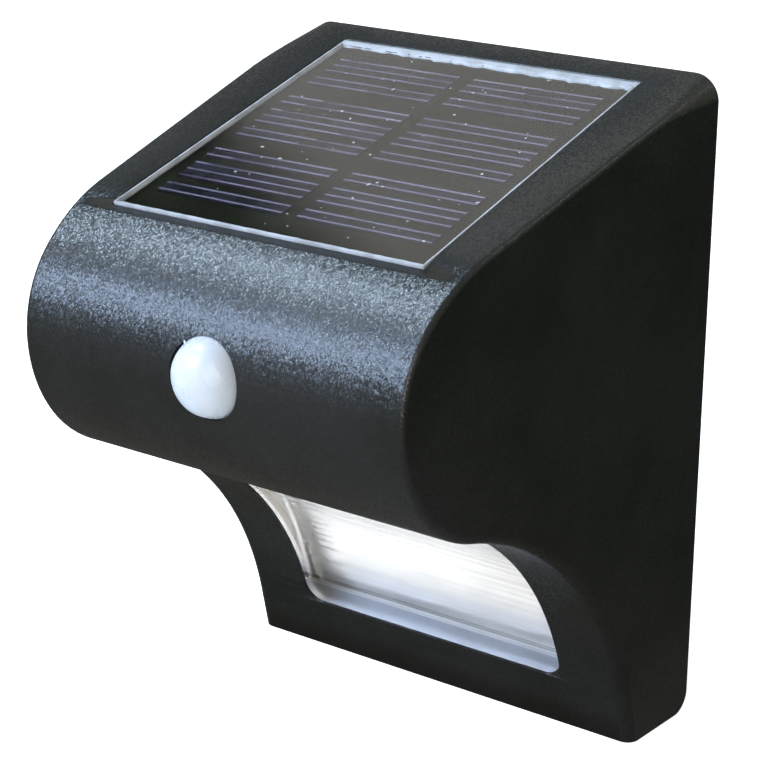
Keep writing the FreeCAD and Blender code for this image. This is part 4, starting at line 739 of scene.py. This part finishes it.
class FENCE_OT_sensor(Operator):
    """Milky lens of the movement sensor with its pillowed facets and moulding mark"""
    bl_idname = "fence_light.sensor"
    bl_label = "Sensor lens"

    def execute(self, context):
        choice = context.scene.fence_sensor
        centre_height = (LENS_LOW.z + LENS_HIGH.z) / 2
        flange = (LENS_HIGH.x - LENS_LOW.x) / 2
        tip = LENS_LOW.y
        ball = (DOME_RADIUS ** 2 + DOME_BULGE ** 2) / (2 * DOME_BULGE)
        bpy.ops.mesh.primitive_uv_sphere_add(segments=choice.segments, ring_count=16,
                                             radius=ball, rotation=(math.pi / 2, 0, 0))
        piece = bpy.context.object
        piece.name = "sensor_dome"
        settle(piece)
        edit(piece)
        bpy.ops.mesh.select_all(action="SELECT")
        bpy.ops.mesh.bisect(plane_co=(0, DOME_BULGE - ball, 0), plane_no=(0, 1, 0),
                            clear_outer=True)
        pick(piece, lambda face: len(face.verts) == 4
             and face.calc_center_median().y < DOME_BULGE - ball - FACET_START)
        bpy.ops.mesh.inset(thickness=FACET_GAP, depth=choice.pillow, use_individual=True)
        pick(piece, lambda edge: edge.is_boundary, "EDGE")
        for depth in DOME_SKIRT:
            bpy.ops.mesh.extrude_region_move(TRANSFORM_OT_translate={"value": (0, depth, 0)})
        bpy.ops.mesh.extrude_region_move(TRANSFORM_OT_translate={"value": (0, 0, 0)})
        bpy.ops.transform.resize(value=(flange / DOME_RADIUS, 1, flange / DOME_RADIUS))
        bpy.ops.mesh.extrude_region_move(
            TRANSFORM_OT_translate={"value": (0, FLANGE_DEPTH, 0)})
        done()
        use(piece)
        bpy.ops.transform.translate(value=(0, tip + ball, centre_height))
        settle(piece)
        edit(piece)
        bpy.ops.mesh.select_all(action="SELECT")
        bpy.ops.mesh.normals_make_consistent(inside=False)
        done()
        apply_modifier(piece, "SOLIDIFY", thickness=DOME_WALL, offset=-1)
        apply_modifier(piece, "SUBSURF", levels=2, render_levels=2)
        spot = Vector((MARK_SIDE * DOME_RADIUS, tip + DOME_BULGE + MARK_PROUD,
                       centre_height + MARK_RISE * DOME_RADIUS))
        bpy.ops.mesh.primitive_cone_add(vertices=10, radius1=0.42 * MM, radius2=0.06 * MM,
                                        depth=0.8 * MM, location=spot,
                                        rotation=(0, MARK_TURN, 0))
        mark = bpy.context.object
        settle(mark)
        piece.select_set(True)
        bpy.context.view_layer.objects.active = piece
        bpy.ops.object.join()
        smooth(piece, math.radians(60))
        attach(piece, "light")
        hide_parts("sensor_lens")
        made, tree, shader = finish("milky plastic", Specular_IOR_Level=0.5,
                                    Subsurface_Weight=0.8, Subsurface_Scale=2 * MM,
                                    Subsurface_Radius=(1.0, 1.0, 1.0))
        tone = effect(tree, "cloud", Size=6 * MM, First=rgba(choice.milky),
                      Second=rgba(choice.milky, 0.94))
        skin = effect(tree, "grain", Grain=1.1 * MM, Depth=0.01 * MM)
        gloss = between(tree, tone.outputs["Mask"], 0.24, 0.32)
        connect(tree, shader, tone.outputs["Color"], skin.outputs["Normal"], gloss)
        dress(piece, made)
        return {"FINISHED"}


# ---------------------------------------------------------------- rear cover

COVER_LIMIT = math.radians(12)


class FENCE_OT_rear(Operator):
    """Rear cover with its keyholes and the finger slot for the switch"""
    bl_idname = "fence_light.rear"
    bl_label = "Rear cover"

    def execute(self, context):
        cover = shell_copy("back_cover", "rear_cover", COVER_LIMIT)
        dress(cover, moulded("cover plastic", (0.010, 0.0105, 0.010), (0.016, 0.0165, 0.016), 0.5,
                             0.5 * MM, 0.04 * MM, size=30 * MM, Specular_IOR_Level=0.4))
        return {"FINISHED"}


# ---------------------------------------------------------------- parts inside

# Two tones, roughness, and the grain's width and height in millimetres
BOARD = ((0.02, 0.13, 0.05), (0.03, 0.18, 0.07), 0.35, 1.0, 0.02)
PLASTICS = {
    "cover_seal": ((0.02, 0.02, 0.02), (0.03, 0.03, 0.03), 0.75, 0.5, 0.03),
    "sensor_retainer": ((0.72, 0.72, 0.70), (0.66, 0.66, 0.64), 0.45, 0.6, 0.02),
    "sensor_board": BOARD,
    "main_board": BOARD,
    "sensor_leads": ((0.75, 0.75, 0.72), (0.65, 0.65, 0.62), 0.4, 0.4, 0.01),
    "panel_leads": ((0.35, 0.02, 0.02), (0.28, 0.015, 0.015), 0.4, 0.4, 0.01),
    "control_chip": ((0.014, 0.014, 0.015), (0.022, 0.022, 0.023), 0.5, 0.3, 0.01),
    "capacitors": ((0.02, 0.03, 0.10), (0.03, 0.04, 0.14), 0.35, 0.5, 0.01),
    "charging_coil": ((0.10, 0.25, 0.12), (0.07, 0.18, 0.09), 0.4, 0.5, 0.02),
    "battery_cell": ((0.02, 0.16, 0.30), (0.03, 0.20, 0.36), 0.35, 2.0, 0.02),
    "battery_holder": ((0.03, 0.03, 0.03), (0.045, 0.045, 0.045), 0.5, 0.6, 0.02),
    "switch_body": ((0.03, 0.03, 0.03), (0.045, 0.045, 0.045), 0.45, 0.5, 0.01),
    "switch_slider": ((0.75, 0.75, 0.73), (0.68, 0.68, 0.66), 0.45, 0.5, 0.01),
}

# Two tones and roughness
STEEL = ((0.55, 0.55, 0.56), (0.48, 0.48, 0.49), 0.3)
METALS = {
    "reflector_screws": STEEL,
    "lamp_board_screws": STEEL,
    "sensor_screws": STEEL,
    "board_screws": STEEL,
    "cover_screws": ((0.52, 0.52, 0.53), (0.44, 0.44, 0.45), 0.32),
    "pir_sensor": ((0.62, 0.60, 0.55), (0.55, 0.53, 0.49), 0.3),
    "battery_contacts": ((0.66, 0.65, 0.62), (0.58, 0.57, 0.54), 0.28),
    "battery_spring": ((0.66, 0.65, 0.62), (0.58, 0.57, 0.54), 0.25),
}


class FENCE_OT_inside(Operator):
    """Finishes of the parts that the housing holds"""
    bl_idname = "fence_light.inside"
    bl_label = "Parts inside"

    def execute(self, context):
        for node, (first, second, roughness, grain, depth) in PLASTICS.items():
            dress(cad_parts[node], moulded(node.replace("_", " "), first, second, roughness,
                                                grain * MM, depth * MM, size=6 * MM))
        for node, (first, second, roughness) in METALS.items():
            dress(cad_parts[node], metal(node.replace("_", " "), first, second, roughness))
        return {"FINISHED"}


# ---------------------------------------------------------------- stage

WHITE = (1, 1, 1, 1)
FLOOR_RADIUS = 4.0
LAMP_TARGET = (0, -0.04, 0)

# Name, direction from the light, distance, width and height in metres, and tint
LAMPS = (
    ("key", (-0.50, -0.70, 0.465), 1.0, 0.38, 0.34, (0.54, 0.71, 1.0)),
    ("spark", (-0.52, -0.17, 0.81), 1.0, 0.24, 0.12, (0.62, 0.80, 1.0)),
    ("fill", (0.38, -0.88, 0.28), 1.2, 0.6, 0.6, (1.0, 0.97, 0.92)),
    ("rim", (0.52, 0.46, 0.70), 1.0, 0.25, 0.25, (1.0, 0.98, 0.94)),
)

# What glossy faces mirror: the floor, which glows for glossy rays with a painted shadow behind the
# light and painted light in front, the sky by direction, and a dark part behind the light
PAINTED_FLOOR_SHADOW = (0.035, 0.045, 0.03, 1)
PAINTED_FLOOR_LIGHT = (0.34, 0.33, 0.31, 1)
SKY_LEFT = (1.0, 0.99, 0.96)
SKY_RIGHT = (0.60, 0.65, 0.56)
SKY_IN_FRONT = (0.8, 0.8, 0.8)
DARK_SKY = (0.012, 0.023, 0.017, 1)
DARK_SIDE = (0.533, 0.829, -0.170)

# What the clear window shows of the room and the floor, with a painted green reflection on the
# floor's right side
ROOM_THROUGH_PANE = (0.9, 0.9, 0.89, 1)
PAINTED_GREEN_REFLECTION = (0.36, 0.42, 0.31, 1)

# The photograph's viewpoint, in metres and degrees
EYE = (0.22357, -0.34424, 0.13931)
EYE_TURN = (70.995, -0.619, 35.230)
EYE_LENS = 103.07
EYE_SHIFT = (-0.04378, -0.01970)


def soft_lamp(name, direction, distance, width, height, power, tint):
    """Large soft lamp that looks at the light from a direction."""
    bulb = bpy.data.lights.new(name, "AREA")
    bulb.shape = "RECTANGLE"
    bulb.size = width
    bulb.size_y = height
    bulb.energy = power
    bulb.color = tint
    lamp = bpy.data.objects.new(name, bulb)
    lamp.location = Vector(direction).normalized() * distance
    bpy.context.scene.collection.objects.link(lamp)
    sight = Vector(LAMP_TARGET) - lamp.location
    lamp.rotation_euler = sight.to_track_quat("-Z", "Y").to_euler()
    lamp.visible_camera = False


class FENCE_OT_stage(Operator):
    """Pale floor, soft lamps, room light and the camera"""
    bl_idname = "fence_light.stage"
    bl_label = "Stage"

    def execute(self, context):
        choice = context.scene.fence_stage
        self.floor(choice)
        self.room(choice)
        for name, direction, distance, width, height, tint in LAMPS:
            soft_lamp(name + "_lamp", direction, distance, width, height,
                      getattr(choice, name), tint)
        self.camera(context)
        context.scene.view_settings.view_transform = "Standard"
        return {"FINISHED"}

    def floor(self, choice):
        """White to the camera, with the object's shadow; to glossy rays it glows with a painted
        shadow behind the light and painted light in front, and through the pane with a painted
        green reflection on its right.
        """
        bpy.ops.mesh.primitive_circle_add(vertices=96, radius=FLOOR_RADIUS, fill_type="NGON",
                                          location=(0, 0, FLOOR))
        piece = bpy.context.object
        piece.name = "floor"
        settle(piece)
        made, tree, shader = finish("floor", Roughness=0.9, Specular_IOR_Level=0.0)
        shader.inputs["Base Color"].default_value = rgba(choice.floor)
        place = add(tree, "ShaderNodeSeparateXYZ", Vector=coordinates(tree))
        distance = add(tree, "ShaderNodeVectorMath", {"operation": "LENGTH"},
                       n0=coordinates(tree)).outputs["Value"]
        glow = between(tree, ramp(tree, distance, 0.15, 0.9), 0.80, 1.0)
        path = add(tree, "ShaderNodeLightPath").outputs
        seen = maths(tree, "ADD", path["Is Camera Ray"], path["Is Transmission Ray"], True)
        # Painted reflection: to rays through the clear pane the floor glows green on its right
        # side
        green_reflection = maths(tree, "MULTIPLY", path["Is Transmission Ray"],
                      ramp(tree, place.outputs["X"], 0.02, 0.14))
        lit = add(tree, "ShaderNodeEmission", Color=blend(tree, green_reflection, WHITE, PAINTED_GREEN_REFLECTION),
                  Strength=maths(tree, "MULTIPLY", glow, seen))
        both = add(tree, "ShaderNodeAddShader", n0=shader.outputs[0], n1=lit.outputs[0])
        # Painted shadow behind the light and painted light in front, seen only by glossy rays
        front = ramp(tree, place.outputs["Y"], 0.15, -0.30)
        mirrored = add(tree, "ShaderNodeEmission",
                       Color=blend(tree, front, PAINTED_FLOOR_SHADOW, PAINTED_FLOOR_LIGHT), Strength=1.0)
        only_glossy = maths(tree, "SUBTRACT", path["Is Glossy Ray"], path["Is Transmission Ray"],
                            True)
        shown = add(tree, "ShaderNodeMixShader", n0=only_glossy, n1=both.outputs[0],
                    n2=mirrored.outputs[0])
        tree.links.new(shown.outputs[0], tree.nodes["Material Output"].inputs["Surface"])
        dress(piece, made)

    def room(self, choice):
        """White to the camera, a plain dim light on the object, and a sky that gloss mirrors."""
        world = bpy.data.worlds.new("room")
        bpy.context.scene.world = world
        world.use_nodes = True
        tree = world.node_tree
        toward = add(tree, "ShaderNodeTexCoord").outputs["Generated"]
        way = add(tree, "ShaderNodeSeparateXYZ", Vector=toward).outputs
        across = add(tree, "ShaderNodeVectorMath", {"operation": "DOT_PRODUCT"}, n0=toward,
                     n1=DARK_SIDE).outputs["Value"]
        dark = maths(tree, "MULTIPLY", ramp(tree, across, 0.035, -0.018),
                     ramp(tree, way["Y"], 0.0, 0.3))
        sky = blend(tree, ramp(tree, way["X"], -0.35, 0.25), rgba(SKY_LEFT, choice.sky),
                    rgba(SKY_RIGHT, choice.sky))
        sky = blend(tree, ramp(tree, way["Y"], -0.1, 0.3), rgba(SKY_IN_FRONT, choice.sky), sky)
        mirrored = blend(tree, dark, sky, DARK_SKY)
        through = blend(tree, ramp(tree, way["Z"], 0.15, 0.35), ROOM_THROUGH_PANE, mirrored)
        path = add(tree, "ShaderNodeLightPath").outputs
        lit = blend(tree, path["Is Glossy Ray"], (choice.room, choice.room, choice.room, 1),
                    mirrored)
        lit = blend(tree, path["Is Transmission Ray"], lit, through)
        tree.links.new(blend(tree, path["Is Camera Ray"], lit, WHITE),
                       tree.nodes["Background"].inputs["Color"])

    def camera(self, context):
        """The photograph's place, angle, lens and framing."""
        view = bpy.data.cameras.new("camera")
        view.sensor_width = 36
        view.lens = EYE_LENS
        view.shift_x, view.shift_y = EYE_SHIFT
        view.clip_start = 0.01
        eye = bpy.data.objects.new("camera", view)
        eye.location = EYE
        eye.rotation_euler = [math.radians(turn) for turn in EYE_TURN]
        context.scene.collection.objects.link(eye)
        context.scene.camera = eye


# ---------------------------------------------------------------- sidebar and registration

STEPS = (FENCE_OT_housing, FENCE_OT_panel, FENCE_OT_window, FENCE_OT_sensor, FENCE_OT_rear,
         FENCE_OT_inside, FENCE_OT_stage)
SETTINGS = {
    "fence_housing": HousingSettings,
    "fence_solar": SolarSettings,
    "fence_window": WindowSettings,
    "fence_sensor": SensorSettings,
    "fence_stage": StageSettings,
}


class FENCE_PT_light(Panel):
    """Steps that build the fence light"""
    bl_idname = "FENCE_PT_light"
    bl_label = "Fence light"
    bl_space_type = "VIEW_3D"
    bl_region_type = "UI"
    bl_category = "Fence light"

    def draw(self, context):
        for step in STEPS:
            self.layout.operator(step.bl_idname)
        for group in SETTINGS:
            choice = getattr(context.scene, group)
            for name in choice.bl_rna.properties.keys():
                if name not in ("rna_type", "name"):
                    self.layout.prop(choice, name)


def register():
    for kind in (*SETTINGS.values(), *STEPS, FENCE_PT_light):
        bpy.utils.register_class(kind)
    for name, kind in SETTINGS.items():
        setattr(bpy.types.Scene, name, PointerProperty(type=kind))


def unregister():
    for name in SETTINGS:
        delattr(bpy.types.Scene, name)
    for kind in reversed((*SETTINGS.values(), *STEPS, FENCE_PT_light)):
        bpy.utils.unregister_class(kind)


def main():
    register()
    deselect()
    bpy.ops.fence_light.housing()
    bpy.ops.fence_light.panel()
    bpy.ops.fence_light.window()
    bpy.ops.fence_light.sensor()
    bpy.ops.fence_light.rear()
    bpy.ops.fence_light.inside()
    bpy.ops.fence_light.stage()


if __name__ == "__main__":
    main()
